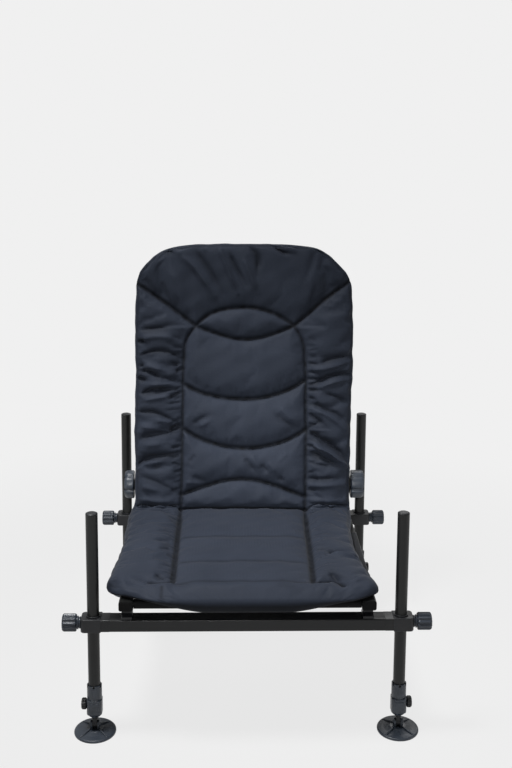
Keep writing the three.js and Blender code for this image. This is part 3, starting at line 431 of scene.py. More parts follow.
def carve(obj, place, *parts, operation="DIFFERENCE"):
    """Booleans with parts set in place, applied to the mesh, so that nothing is left to the modifiers."""
    for part in parts:
        tool = new_object("cutter", new_mesh("cutter", part, place))
        modifier = obj.modifiers.new("cut", "BOOLEAN")
        modifier.operation = operation
        modifier.solver = "EXACT"
        modifier.object = tool
        bpy.context.view_layer.update()
        used = obj.data, tool.data
        apply_modifiers(obj)
        bpy.data.objects.remove(tool)
        for mesh in used:
            bpy.data.meshes.remove(mesh)
    shade(obj)


def fluted(lobes, depth, power, least, above=0.0, start=0.0):
    """Narrow grooves between a knob's broad grips, beyond the least radius and above a height."""
    def share(a, h, r):
        if r <= least or h <= above:
            return 1.0
        return 1.0 - depth / r * abs(math.cos((a - start) * lobes / 2)) ** power
    return share


# Mattress: swept from the seat through a bend to the back. Places along it are in mm, on the seat those
# of the seat frame
SEAT_FRONT = -352.0
BEND_START = 131.8
BEND_RADIUS = 38.0
BEND_TURN = math.radians(82)
UNDER = 46.5
BACK_FOOT = -41.3
BACK_UNDER = -15.0
BACK_TOP = 601.0
BEND_LENGTH = BEND_RADIUS * BEND_TURN
LENGTH = BEND_START - SEAT_FRONT + BEND_LENGTH + BACK_TOP - BACK_FOOT
CREASE = BEND_START + BEND_LENGTH / 2
THICK = 28.5
GRID_STEP = 5.5
MATTRESS_WIDTH = 540
CLOTH_REACH = 0.007
CLOTH_FRAMES = 20


def along(z):
    """The place along the mattress of a height z on the back."""
    return BEND_START + BEND_LENGTH + z - BACK_FOOT


def surface(x, s, n):
    """A point of the mattress, n mm off its under side, in the seat frame's v and w. Arrays."""
    turn = np.clip((s - BEND_START) / BEND_RADIUS, 0, BEND_TURN)
    bend = s <= BEND_START + BEND_LENGTH
    reach = BEND_RADIUS - n
    z = s - BEND_START - BEND_LENGTH + BACK_FOOT
    y = BACK_UNDER - n
    sr, cr = math.sin(RECLINE), math.cos(RECLINE)
    on_seat = s < BEND_START
    v = np.where(on_seat, s, np.where(bend, BEND_START + reach * np.sin(turn), HINGE[1] + z * sr + y * cr))
    w = np.where(on_seat, UNDER + n, np.where(
        bend, UNDER + BEND_RADIUS - reach * np.cos(turn), HINGE[2] + z * cr - y * sr))
    return np.stack([x, v, w], -1)


def to_part(points):
    """Seat frame mm to part frame metres."""
    m = np.array(chair_at())
    return (points * MM) @ m[:3, :3].T + m[:3, 3]


def ease(a, b, t):
    t = np.clip((t - a) / (b - a), 0, 1)
    return t * t * (3 - 2 * t)


def seat_part(ps):
    """1 on the seat and 0 on the back."""
    return 1 - ease(60, 130, ps)


def pairs(numbers):
    return list(zip(numbers[::2], numbers[1::2]))


# Half widths along the mattress: place, left, right
WIDTHS = np.array([
    (SEAT_FRONT, 176, 206), (-348, 196, 222), (-338, 224, 241), (-328, 248, 256), (-318, 269, 267),
    (-308, 285, 274), (-296, 294, 275.5), (-284, 297.5, 274), (-270, 297, 271), (-236, 293, 266),
    (-196, 290, 258.5), (-160, 288, 253), (-100, 284.5, 248.5), (-50, 282, 249), (-10, 283, 251),
    (40, 284, 253), (85, 286, 258), (115, 285, 262), (CREASE, 281, 263), (along(-33), 271, 262),
    (along(0), 271, 261.5), (along(36), 271.5, 261.5), (along(58), 273, 261.5), (along(100), 273.5, 263),
    (along(137), 275, 264.5), (along(216), 271, 266), (along(294), 272, 268), (along(373), 273.5, 270),
    (along(451), 270.5, 268.5), (along(500), 271, 263), (along(514), 267.5, 258.5),
    (along(530), 261, 250), (along(549), 246, 234), (along(569), 225.5, 213.5), (along(582), 206, 194.5),
    (along(587), 192, 183), (along(591), 174, 171), (along(594), 158, 156), (along(597), 143, 130),
    (along(599.5), 126, 100), (along(BACK_TOP), 105, 72),
])

# The seams' depth and reach, then their points: x and height on the back, x and place on the seat
SEAMS = {
    "diagonal_left": (13.5, 17, (-267, 500, -230, 476, -194, 451, -155, 421, -121, 397), ()),
    "diagonal_right": (13.5, 17, (265, 512, 228, 486, 189, 457, 152, 424, 121, 397), ()),
    "lens_upper": (
        13, 14, (-121, 397, -104, 414, -81, 430, -37, 441, 4, 443, 41, 438, 73, 427, 102, 411, 121, 397),
        ()),
    "lens_lower": (
        13.5, 15, (-121, 397, -92, 385, -62, 375, -30, 366, 2, 363, 32, 366, 61, 374, 92, 385, 121, 397),
        ()),
    "side_left": (
        11, 15, (-121, 397, -137, 379, -147, 358, -152, 314, -153, 200, -154, 100, -156, 0),
        (-157, CREASE, -157, 60, -157, -150, -156, -292)),
    "side_right": (
        11, 15, (121, 397, 134, 377, 144, 356, 149, 314, 150, 200, 151, 100, 150, 0),
        (149, CREASE, 146, 60, 142, -150, 137, -296)),
    "arc_high": (
        15, 17, (-152, 253, -125, 238, -98, 228, -50, 218, 4, 215, 52, 220, 99, 234, 125, 247, 149, 263),
        ()),
    "arc_low": (
        15, 17, (-153, 142, -125, 124, -98, 112, -50, 98, 4, 93, 52, 98, 99, 111, 125, 124, 150, 140),
        ()),
    "lumbar": (
        14, 15, (-156, -22, -128, -9, -98, 0, -55, 14, -12, 19, 35, 14, 75, 2, 115, -13, 149, -26),
        ()),
    "crease": (
        15, 15, (),
        (-157, CREASE, -100, CREASE + 1, -48, CREASE + 2, 0, CREASE + 2, 55, CREASE, 100, CREASE - 2, 149,
        CREASE - 5)),
    "hook_left": (12, 13, (), (-156, -292, -176, -296, -203, -290)),
    "hook_right": (12, 13, (), (137, -296, 158, -291, 178, -284, 192, -296, 199, -312)),
    "channel_1": (3.6, 15, (), (-149, -52, -2, -53, 140, -54)),
    "channel_2": (3.9, 16, (), (-149, -196, -4, -197, 137, -198)),
    "channel_3": (3.9, 13, (), (-150, -306, -6, -306, 132, -306)),
    "front_tuck": (3.5, 6, (), (-176, -322, -176, -349)),
}

# Folds seen in the photograph: height (valleys are negative), width, then x and height on the back,
# x and distance from the crease, or x and place on the seat
BACK_FOLDS = [
    (-7, 10, -263, 185, -222, 187, -193, 174, -159, 155), (-8.5, 8, -183, 144, -154, 148),
    (-6.5, 13, -259, 118, -233, 130, -196, 134, -159, 135),
    (-10, 14, -270, 49, -248, 70, -215, 79, -159, 80), (3, 10, -267, 42, -241, 61, -204, 66),
    (-4.5, 7, -222, 51, -202, 55), (-3.5, 11, -248, 25, -215, 15, -185, -2, -159, -16),
    (-3, 6, -178, 99, -157, 102), (-3, 7, -178, 60, -157, 53), (3, 9, -215, 167, -178, 160),
    (3.5, 12, -255, 150, -215, 145), (3, 14, -244, 104, -200, 108), (3, 13, -252, 4, -207, -8),
    (-6.5, 10, 160, 206, 190, 199, 227, 181, 249, 160), (-4.5, 9, 157, 181, 198, 153),
    (3.5, 10, 164, 194, 209, 178, 249, 139), (-12, 13, 155, 138, 186, 118, 212, 108, 235, 87, 262, 56),
    (9, 8, 168, 106, 212, 84, 249, 53, 263, 44), (-8, 9, 159, 85, 198, 70, 231, 52),
    (-3, 8, 157, 60, 198, 53, 220, 53), (-6.5, 11, 157, 18, 190, 21, 229, 24), (3.5, 12, 160, 4, 249, 8),
    (-3.5, 7, 157, -10, 177, -8), (-3.5, 6, 153, 101, 172, 104),
    (-5, 13, -259, 388, -215, 390, -181, 397), (-8.5, 8, -263, 357, -246, 361),
    (3.5, 13, -255, 364, -215, 373, -163, 364), (-6.5, 11, -257, 324, -222, 338, -181, 333, -157, 316),
    (-4, 7, -183, 308, -159, 300), (-5, 7, -261, 297, -248, 302),
    (-8.5, 10, -259, 287, -233, 285, -202, 268), (-4, 9, -204, 272, -157, 259),
    (-7, 8, -265, 267, -243, 263), (-4.5, 6, -168, 287, -146, 291), (4, 11, -244, 299, -196, 287),
    (4, 10, -233, 252, -163, 256), (-9.5, 11, -255, 232, -215, 242, -167, 240),
    (-6, 7, -183, 219, -159, 232, -148, 235), (3.5, 9, -244, 214, -185, 225),
    (-7, 13, 185, 307, 212, 320, 262, 326), (5, 11, 159, 291, 198, 294, 266, 314),
    (-9.5, 10, 168, 254, 198, 273, 231, 282, 267, 278), (4.5, 10, 175, 240, 220, 263, 266, 266),
    (-7, 7, 155, 239, 188, 241), (-5.5, 9, 198, 232, 231, 222, 254, 208), (-2, 6, 159, 337, 179, 340),
    (-2, 6, 159, 319, 177, 321), (-3, 7, 157, 306, 183, 304), (6, 15, -155, 568, -116, 534, -75, 472),
    (-6, 13, -119, 579, -86, 531, -56, 478), (8, 10, -66, 589, -42, 537, -19, 478),
    (-7, 10, -37, 570, -18, 531, 1, 498), (6, 11, -4, 562, 12, 523, 31, 478),
    (-8, 12, 12, 595, 34, 568, 29, 523), (-9, 9, 72, 597, 90, 578, 111, 574), (4, 12, 97, 589, 130, 578),
    (-5, 11, -201, 585, -168, 571), (2.5, 12, -176, 579, -149, 574), (3, 9, -105, 590, -92, 579),
    (-4, 12, -127, 155, -109, 168, -88, 178), (3, 13, -112, 150, -82, 166),
    (-4, 12, 75, 182, 97, 160, 131, 146), (3.5, 13, 84, 196, 126, 158), (-4.5, 11, 1, 72, 13, 52, 28, 36),
    (3, 12, 16, 78, 40, 42), (-3.5, 10, 40, 55, 60, 34), (2.5, 12, 58, 62, 80, 36),
    (-4, 9, 84, 24, 96, 12), (-2.5, 9, -122, 80, -138, 58), (-3, 11, -128, 26, -92, 14),
    (2.5, 8, -146, 12, -104, 8), (2, 12, 104, 84, 78, 60),
]
CREASE_FOLDS = [
    (-9, 10, -276, 16, -244, 20, -204, 2), (-8.5, 10, -237, -8, -192, 2, -155, 22),
    (6, 9, -262, 2, -205, -14, -170, -6), (-5, 10, -262, -34, -176, -30),
    (-11, 11, 157, -8, 197, 8, 262, 16), (6.5, 9, 160, -24, 206, -8, 262, 2),
    (4, 11, 158, 34, 200, 38, 250, 36), (4, 11, -256, 40, -170, 34), (-3.5, 9, -230, -52, -165, -44),
    (-4, 9, 160, -46, 220, -38),
]
SEAT_FOLDS = [
    (-8, 11, 180, -150, 215, -150, 262, -160), (4, 11, 190, -172, 255, -176),
    (-6, 12, -190, -262, -172, -284), (-6, 12, 176, -262, 192, -296), (-3, 8, -170, -20, -212, -34),
    (-3, 9, -170, -62, -205, -84), (-3, 9, -168, -108, -196, -134), (2.5, 10, -170, -150, -214, -176),
    (-2.5, 9, 158, -36, 206, -48), (-2.5, 10, 158, -120, 200, -138), (2.5, 12, -210, -300, -252, -282),
    (2.5, 12, 206, -316, 244, -290), (-2, 10, -156, -300, -118, -322), (-2, 12, 60, -318, 110, -330),
    (1.5, 12, -40, -326, 10, -320),
]


def to_line(px, ps, line):
    """Distance from points to a polyline, and how far along it the nearest point is, from 0 to 1."""
    pts = np.array(line, float)
    best = np.full(px.shape, 1e9)
    where = np.zeros(px.shape)
    steps = np.hypot(*(pts[1:] - pts[:-1]).T)
    total, run = steps.sum(), 0.0
    for a, b, length in zip(pts, pts[1:], steps):
        d = b - a
        t = np.clip(((px - a[0]) * d[0] + (ps - a[1]) * d[1]) / (d @ d), 0, 1)
        q = np.hypot(px - a[0] - t * d[0], ps - a[1] - t * d[1])
        near = q < best
        best = np.where(near, q, best)
        where = np.where(near, (run + t * length) / total, where)
        run += length
    return best, where


def smooth_line(line, rounds=2):
    pts = [np.array(p, float) for p in line]
    for _ in range(rounds):
        out = [pts[0]]
        for a, b in zip(pts, pts[1:]):
            out += [a * 0.75 + b * 0.25, a * 0.25 + b * 0.75]
        out.append(pts[-1])
        pts = out
    return [tuple(p) for p in pts]


SMOOTH = {}
for name, (depth, reach, back_line, seat_line) in SEAMS.items():
    line = [(x, along(z)) for x, z in pairs(back_line)] + pairs(seat_line)
    SMOOTH[name] = (smooth_line(line) if len(line) > 2 else line, depth, reach)


def random_folds():
    """Small gathers between the large folds, from the side seams outwards and along the arcs."""
    out = []
    for side in (-1, 1):
        z = -4.0
        while z < 385:
            inner = 155 + rng.uniform(0, 3)
            run = rng.uniform(12, 34)
            rise = rng.normal(-0.1, 0.25) * run
            calm = 0.5 if side > 0 and z > 320 else 1.0
            line = [(side * inner, along(z)), (side * (inner + run), along(z + rise))]
            out.append((line, calm * rng.uniform(-3.4, -1.0), rng.uniform(5, 7.5)))
            z += rng.uniform(10, 27)
        v = 108.0
        while v > -280:
            inner = 157 + rng.uniform(0, 4)
            run = rng.uniform(16, 46)
            line = [(side * inner, v), (side * (inner + run), v - rng.uniform(2, 20))]
            out.append((line, rng.uniform(-2.2, -0.8), rng.uniform(5.5, 8.5)))
            v -= rng.uniform(12, 30)
    for place in np.arange(-138, 139, 15.0):
        place = place + rng.uniform(-5, 5)
        for middle, bow in ((215, 0.0019), (93, 0.0021)):
            base = along(middle + bow * place ** 2)
            line = [(place, base + 7), (place + rng.uniform(-5, 5), base + rng.uniform(18, 34))]
            out.append((line, rng.uniform(-1.3, -0.2), rng.uniform(6, 9)))
    return out


def all_folds():
    tables = ((BACK_FOLDS, along), (CREASE_FOLDS, lambda s: CREASE + s), (SEAT_FOLDS, lambda s: s))
    return [([(x, place(s)) for x, s in pairs(line)], height, width)
            for table, place in tables for height, width, *line in table] + random_folds()


def fold_height(px, ps, folds):
    total = np.zeros(px.shape)
    for line, height, width in folds:
        outer = abs(line[0][0]) > 150
        line = smooth_line(line) if len(line) > 2 else line
        xs, ss = zip(*line)
        near = ((px > min(xs) - 2 * width) & (px < max(xs) + 2 * width)
                & (ps > min(ss) - 2 * width) & (ps < max(ss) + 2 * width))
        if not near.any():
            continue
        q, t = to_line(px[near], ps[near], line)
        taper = ease(-0.1, 0.18, t) * (1 - 0.75 * ease(0.6, 1.0, t))
        sharp = 1.15 if height < 0 and outer else 1.6
        total[near] += (1.5 if outer else 1.1) * height * taper * np.exp(-(q / (0.55 * width)) ** sharp)
    return total


def rolling(px, ps):
    """Slow, uneven swells in the stuffing, in mm."""
    total = np.zeros(px.shape)
    for reach, height in ((150, 1.2), (78, 1.0), (41, 0.6)):
        for _ in range(3):
            turn, start = rng.uniform(0, math.pi), rng.uniform(0, 2 * math.pi)
            across = px * math.cos(turn) + ps * math.sin(turn)
            total += height * np.sin(across * 2 * math.pi / reach + start) / 3
    return total


def edge_distance(px, ps):
    """Distance in mm to the mattress's outline, inside it."""
    outline = [(-l, s) for s, l, r in WIDTHS] + [(r, s) for s, l, r in WIDTHS[::-1]]
    outline.append(outline[0])
    return to_line(px, ps, outline)[0]


def rim_level(ps):
    """The height of the outline's seam over the under side: halfway on the back, low on the seat."""
    return 12.5 - 4.5 * seat_part(ps)


def relief(px, ps):
    """How far the under side stands off, round the hinge sockets, the brackets and the sling's rails."""
    return 14.5 * ease(192, 206, np.abs(px)) * ease(128, 160, ps) * (1 - ease(along(40), along(74), ps))


SAGS = {"diagonal_left": 2.2, "diagonal_right": 2.2, "lens_upper": 2.8, "lens_lower": 1.5, "arc_high": 2.0,
        "arc_low": 1.8, "lumbar": 1.4, "crease": 1.3}
BANDS = {"crease": 3.4, "arc_high": 1.0, "arc_low": 1.0, "hook_left": 2.2, "hook_right": 2.2}


def pillow(t):
    """Steep beside a seam and level away from it."""
    t = np.clip(t, 0, 1)
    return 1 - np.sqrt(1 - (1 - t) ** 2)


def seam_depth(px, ps):
    """The hollows round the seams, wider above a seam where the stuffing sags, and the distances to
    the nearest seam and tape and to the painted shade along and above the seams."""
    total = np.zeros(px.shape)
    nearest, tape, shadow = (np.full(px.shape, 1e9) for _ in range(3))
    for name, (line, depth, reach) in SMOOTH.items():
        raw = to_line(px, ps, line)[0]
        if name.startswith("side"):
            tape = np.minimum(tape, raw)
            band = 0.4 + 2.4 * seat_part(ps)
        else:
            band = BANDS.get(name, 0.8)
        q = np.maximum(raw - band, 0)
        spread = 2.3 * reach
        if name in SAGS:
            xs, ss = np.array(sorted(line, key=lambda p: p[0])).T
            above = ps > np.interp(px, xs, ss)
            spread = np.where(above, spread * SAGS[name], spread * 0.85)
            shadow = np.minimum(shadow, np.where(above, q / 2.3, q))
        shape = np.exp(-(q / reach) ** 1.6) if depth < 4 else pillow(q / spread)
        total = np.maximum(total, depth * shape)
        if depth > 4:
            nearest = np.minimum(nearest, q)
        elif name.startswith("channel"):
            shadow = np.minimum(shadow, 2.6 + q / 2.4)
        else:
            shadow = np.minimum(shadow, 1.5 + q)
    return total, nearest, tape, shadow


def fine_relief(px, ps):
    """What sewing and slack add to the stuffed shape: folds, drawn-in threads and the edge seam; then
    the painted shade of each place, which the cushion's colour takes."""
    edge = edge_distance(px, ps)
    fade = np.clip(edge / 9, 0.25, 1)
    _, nearest, tape, shadow = seam_depth(px, ps)
    folds = fold_height(px, ps, all_folds()) * np.clip(nearest / 5, 0.15, 1)
    sewn = -(2.4 + 3.0 * np.exp(-((ps - CREASE) / 12) ** 2)) * np.exp(-(nearest / 2.6) ** 2)
    hemmed = ease(-330, -290, ps)
    hem = -1.4 * np.exp(-((edge - 7.5) / 1.9) ** 2) * hemmed
    wander = np.sin(ps / 5.1 + 1.7 * np.sin(ps / 13.7)) * np.sin(px / 6.3 + 1.3 * np.sin(px / 11.9))
    uneven = 0.84 + 0.16 * wander
    # Painted shade in the seams and the hem seam, in the fold valleys and above sagging seams; the first
    # term is a darker band along the side seams' tapes on the back.
    dark = np.maximum.reduce([
        0.3 * np.exp(-(tape / 6.2) ** 4) * ease(90, 150, ps),
        uneven * np.exp(-(shadow / 3.2) ** 2),
        0.55 * np.clip(-(folds * fade) / 9.0, 0, 1) ** 0.8,
        uneven * np.exp(-(nearest / 3.0) ** 2),
        0.4 * np.exp(-((edge - 7.5) / 2.2) ** 2) * hemmed,
    ])
    return folds * fade + sewn * fade + hem, dark


def droop(px, ps):
    """How far the front edge hangs in front of the seat's front tube, and its corners outside the rails."""
    corners = 2.6 * ease(250, 280, np.abs(px)) * (1 - ease(-320, -200, ps))
    return 4.5 * (1 - ease(-346, -316, ps)) * (1 - ease(150, 262, np.abs(px))) + corners


def rim_shape(edge, reach):
    """From 0 at the outline to 1 at reach mm inside it."""
    return np.sqrt(np.clip(1 - (1 - np.clip(edge / reach, 0, 1)) ** 2.2, 0, 1))


def mattress_height(px, ps):
    edge = edge_distance(px, ps)
    shape = rim_shape(edge, 26.0)
    slope = 1 - (1 - np.clip(edge / 42.0, 0, 1)) ** 1.7
    shape = shape + (slope - shape) * 0.85 * (1 - ease(-328, -262, ps)) * (1 - ease(190, 260, np.abs(px)))
    grooves, nearest = seam_depth(px, ps)[:2]
    puff = 4.0 * (1 - np.exp(-nearest / 30.0)) * np.clip(edge / 60, 0, 1)
    seat = seat_part(ps)
    crown = 2.0 * seat * np.clip(1 - (px / 260) ** 2, 0, 1) - seat
    nose = 2.0 * (1 - ease(-330, -250, ps)) * (1 - ease(150, 260, np.abs(px)))
    top = THICK - 3 + puff + crown + nose - grooves + rolling(px, ps) * np.clip(edge / 14, 0, 1)
    mid = rim_level(ps)
    return mid + (top - mid) * shape - droop(px, ps), edge, nearest


def mattress_under(px, ps, edge):
    mid = rim_level(ps)
    belly = 4.0 * (1 - ease(170, 205, np.abs(px))) * ease(-330, -290, ps) * (1 - ease(60, 120, ps))
    lip = 26.0 * np.exp(-((ps + 343) / 6.0) ** 2) * (1 - ease(80, 215, np.abs(px)))
    quilt = 2.4 * (1 - np.exp(-seam_depth(px, ps)[1] / 20.0)) * ease(along(60), along(110), ps)
    low = relief(px, ps) - belly - quilt - mid
    return mid + low * rim_shape(edge, 20.0) - droop(px, ps) - lip


def mattress_grid(step):
    """A sheet of quads that follows the outline, for the top and the under side."""
    rows = int(round(LENGTH / step))
    cols = int(round(MATTRESS_WIDTH / step))
    s_line = np.linspace(SEAT_FRONT, SEAT_FRONT + LENGTH, rows + 1)
    left, right = (np.interp(s_line, WIDTHS[:, 0], WIDTHS[:, i])[:, None] for i in (1, 2))
    x = (right - left) / 2 + np.linspace(-1, 1, cols + 1)[None, :] * ((right + left) / 2)
    return x, np.repeat(s_line[:, None], cols + 1, 1)


def wavering(place, start):
    """Unevenness of the outline along a place in mm, about 2 mm either way."""
    return (0.35 * np.sin(place / 7.1 + start) + 0.8 * np.sin(place / 17.3 + 2.1 * start)
            + 0.9 * np.sin(place / 34.0 + 3.3 * start))


def cells(index, order):
    corners = index[:-1, :-1], index[:-1, 1:], index[1:, 1:], index[1:, :-1]
    return np.stack([corners[i] for i in order], -1).reshape(-1, 4)


def mattress_mesh(step):
    """The points and faces of both skins, joined at the rim, and what is known of each point."""
    x, s = mattress_grid(step)
    rows, cols = x.shape
    outer = ease(70, 0, edge_distance(x, s))
    x = x + np.sign(x) * outer * wavering(s, 1.0 + 0.6 * np.sign(x))
    s = s + ease(along(470), along(600), s) * wavering(x, 2.4)
    top, edge, nearest = mattress_height(x, s)
    low = mattress_under(x, s, edge)
    inner = np.zeros(x.shape, bool)
    inner[1:-1, 1:-1] = True
    top = np.where(inner, np.maximum(top, low + 3.0), rim_level(s) - droop(x, s))
    index_top = np.arange(rows * cols).reshape(rows, cols)
    index_low = index_top.copy()
    index_low[inner] = rows * cols + np.arange(inner.sum())
    points = np.concatenate([surface(x, s, top).reshape(-1, 3), surface(x, s, low)[inner]])
    faces = np.concatenate([cells(index_top, (0, 1, 2, 3)), cells(index_low, (0, 3, 2, 1))])
    known = {"x": x, "s": s, "near": nearest, "edge": edge}
    info = {key: np.concatenate([value.reshape(-1), value[inner]]) for key, value in known.items()}
    info["top"] = np.arange(len(points)) < rows * cols
    return points, faces, info


def puffed(obj, info, cap):
    """Cloth under pressure between the seams, whose movement is capped, then applied."""
    start = np.array([v.co for v in obj.data.vertices])
    group = obj.vertex_groups.new(name="held")
    hold = np.where(info["top"], np.exp(-(info["near"] / 5.0) ** 2), 1.0)
    hold = np.maximum(hold, np.exp(-(info["edge"] / 6.0) ** 2))
    hold = np.maximum(hold, np.where(np.abs(info["s"] - CREASE) < 16, 1.0, 0.0))
    for weight in (0.25, 0.5, 0.75, 1.0):
        chosen = np.nonzero((hold > weight - 0.125) & (hold <= weight + 0.125))[0]
        group.add([int(i) for i in chosen], weight, "REPLACE")
    cloth = obj.modifiers.new("cloth", "CLOTH")
    settings = {
        "quality": 5, "mass": 0.25, "tension_stiffness": 12, "compression_stiffness": 12,
        "shear_stiffness": 4, "bending_stiffness": 0.25, "air_damping": 3, "vertex_group_mass": "held",
        "shrink_min": -0.045, "use_pressure": True, "uniform_pressure_force": 4,
    }
    for key, value in settings.items():
        setattr(cloth.settings, key, value)
    cloth.settings.effector_weights.gravity = 0
    cloth.collision_settings.use_collision = False
    cloth.collision_settings.use_self_collision = False
    cloth.point_cache.frame_start = 1
    cloth.point_cache.frame_end = CLOTH_FRAMES
    for f in range(1, CLOTH_FRAMES + 1):
        scene.frame_set(f)
    done = obj.evaluated_get(bpy.context.evaluated_depsgraph_get())
    after = np.array([v.co for v in done.data.vertices])
    obj.modifiers.clear()
    obj.vertex_groups.clear()
    scene.frame_set(1)
    move = after - start
    size = np.linalg.norm(move, axis=1, keepdims=True)
    centre = 1 - ease(135, 160, np.abs(info["x"]))
    calm = 1 - centre * np.where(info["s"] > CREASE, 0.5, 0.6) - 0.15
    move *= np.minimum(1.0, cap / np.maximum(size, 1e-12)) * calm[:, None]
    print("mattress cloth moved", round(float(size.max()) / MM, 2), "mm at most")
    obj.data.vertices.foreach_set("co", (start + move).astype(np.float32).ravel())
    obj.data.update()


def mark(mesh, name, values):
    mesh.attributes.new(name, "FLOAT", "POINT").data.foreach_set("value", values.astype(np.float32))


def sew(mesh):
    """Presses the fine relief into the upper skin along its normals, and stores painted shade as point
    attributes: in the seams, folds and hem, and on the under side.
    """
    count = len(mesh.vertices)
    read = {}
    for key in ("x", "s", "top"):
        read[key] = np.empty(count, np.float32)
        mesh.attributes["at_" + key].data.foreach_get("value", read[key])
        mesh.attributes.remove(mesh.attributes["at_" + key])
    upper = read["top"] > 0.5
    lift, dark = fine_relief(read["x"][upper].astype(float), read["s"][upper].astype(float))
    co, normal = np.empty(count * 3, np.float32), np.empty(count * 3, np.float32)
    mesh.vertices.foreach_get("co", co)
    mesh.vertex_normals.foreach_get("vector", normal)
    co.reshape(-1, 3)[upper] += normal.reshape(-1, 3)[upper] * (lift * MM)[:, None].astype(np.float32)
    mesh.vertices.foreach_set("co", co)
    drawn = np.zeros(count, np.float32)
    drawn[upper] = dark
    # Painted shade of the seams, folds and hem on the upper skin.
    mark(mesh, "seam", drawn)
    # Painted shade on the under side, fading out at the rim.
    mark(mesh, "under", np.clip(2.2 * (1 - read["top"]), 0, 1))
    mesh.update()


def make_mattress():
    points, faces, info = mattress_mesh(GRID_STEP)
    mesh = bpy.data.meshes.new("mattress")
    mesh.from_pydata(to_part(points).tolist(), [], faces.tolist())
    mesh.update()
    obj = new_object("mattress", mesh)
    puffed(obj, info, CLOTH_REACH)
    for key in ("x", "s", "top"):
        mark(mesh, "at_" + key, info[key])
    smooth = obj.modifiers.new("smooth", "SUBSURF")
    smooth.levels = smooth.render_levels = 1
    apply_modifiers(obj)
    sew(obj.data)
    wear(obj, CUSHION, 180)
    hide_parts("seat_pad", "back_pad")
    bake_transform(obj)


make_mattress()


# Legs, caps, knobs and feet: radii of bores, and places out from a cap and up a leg, in mm
LEG_BORE, CLAMP_BORE, STEM_BORE, LOCK_BORE = 12.85, 4.3, 7.25, 3.3
CLAMP_OUT, LOCK_UP, DISC_UP = 28.3, 64, 18


def hole(radius, low, high, axis="Z", sides=48):
    return turned([(0, low), (radius, low), (radius, high), (0, high)], sides, axis)


def end_cap(tag, place):
    outline = [(-17, -21)] + arc(17, -13, 8, -90, 0, 8) + arc(17, 13, 8, 0, 90, 8) + [(-17, 21)]
    boss = turned(rounded([(0, 22), (11, 22), (11, 28), (0, 28)], 1.0), 40, "X")
    collar = turned(rounded([(12, 0), (15.2, 0), (15.2, 3.2), (12, 3.2), (12, 0)], 0.6), 48)
    obj = build(f"cap_{tag}", prism(outline, -27.5, 1.5, 2.2, 4), place, BLACK_PLASTIC, "chair",
                f"crossbar_cap_{tag}")
    carve(obj, place, at(boss, z=BAR_MIDDLE), at(collar, z=1.2), operation="UNION")
    carve(obj, place, hole(LEG_BORE, -40, 20), at(hole(CLAMP_BORE, 5, 40, "X", 20), z=BAR_MIDDLE))
    section = prism(round_rect(26, 40, 2.5), -34.3, -16.8, 0.25, 1)
    build(f"bar_end_{tag}", moved(section, shift(z=BAR_MIDDLE) @ AXIS["X"]), place, BAR_BLACK, "chair")


CLAMP = rounded([
    (0, -15.5), (4, -15.5), (4, -2.6), (12.4, -2.4), (12.4, 0.2), (10.6, 0.6), (10.6, 1.8), (13.6, 2.2),
    (13.6, 4.6), (12.0, 5.0), (12.0, 5.8), (16.6, 6.2), (18.5, 8.4), (18.5, 32.6), (15.8, 35.5),
    (13.2, 35.5), (12.4, 34.4), (5.5, 34.2), (4.6, 35.0), (0, 35.2),
], 0.9)
FOOT_KNOB = rounded([
    (0, 7.4), (3, 7.4), (3, 16.3), (9, 16.3), (12, 18.2), (12, 25.0), (10.2, 27.3), (8.6, 27.3),
    (8.0, 26.4), (0, 26.6),
], 0.9)
DISC = rounded([
    (0, -16), (39.6, -16), (40.4, -18), (44, -18), (44, -15), (42, -13), (30, -11.6), (17.5, -9.2),
    (17.0, -8.5), (0, -8.5),
], 0.9)
FOOT_PIN = rounded([
    (0, -11.8), (3.4, -11.8), (4.6, -10.6), (4.6, -9.8), (3, -9.8), (3, 9.8), (4.6, 9.8), (4.6, 10.6),
    (3.4, 11.8), (0, 11.8),
], 0.3, 2)
LID = rounded([
    (0, 483.0), (9.5, 482.8), (12.4, 481.2), (12.4, 480.3), (10.5, 480.3), (10.5, 466), (8.8, 466),
    (8.8, 479.5), (0, 479.5),
], 0.8)
PIPE = [(11.0, 76.3), (12.5, 76.3), (12.5, 479.6), (12.2, 480.0), (11.0, 480.0), (11.0, 76.3)]


def knob(name, body, place, look, profile, segments, flutes):
    """A fluted knob turned about x."""
    part = turned(profile, segments, "X", flutes)
    build(name, part, place, look, body, body, sharp=50)


def foot_block(tag, place):
    chin = turned(rounded([(0, 38), (12.4, 38), (16, 44.6), (16, 47), (0, 47)], 0.8), 48)
    collar = build(f"foot_collar_{tag}", prism(round_rect(32, 32, 9, 8), 43.6, 76.0, 1.6, 3), place,
                   BLUE_GREY, f"leg_{tag}", f"foot_block_{tag}")
    face = box(10, 8, 0, 2.0, 0.7, 2)
    faces = [moved(face, shift(z=62) @ spin(turn, "X") @ shift(z=14.8)) for turn in (90, 270)]
    carve(collar, place, chin, *faces, operation="UNION")
    carve(collar, place, hole(STEM_BORE, 30, 72.3), at(hole(LOCK_BORE, 0, 30, "X", 20), z=LOCK_UP))
    sleeve = turned(rounded([(13.0, 76.3), (15.5, 76.3), (15.5, 108), (12.9, 108), (12.9, 76.4)], 0.7), 64)
    ring = build(f"foot_sleeve_{tag}", sleeve, place, BLUE_GREY, f"leg_{tag}")
    bm = bmesh.new()
    bm.from_mesh(ring.data)
    bmesh.ops.holes_fill(bm, edges=[e for e in bm.edges if e.is_boundary], sides=0)
    bm.to_mesh(ring.data)
    bm.free()
    carve(ring, place, *[moved(box(20, 2, 103, 112, 0.0, 1), spin(turn, "Z")) for turn in (30, 90, 150)])


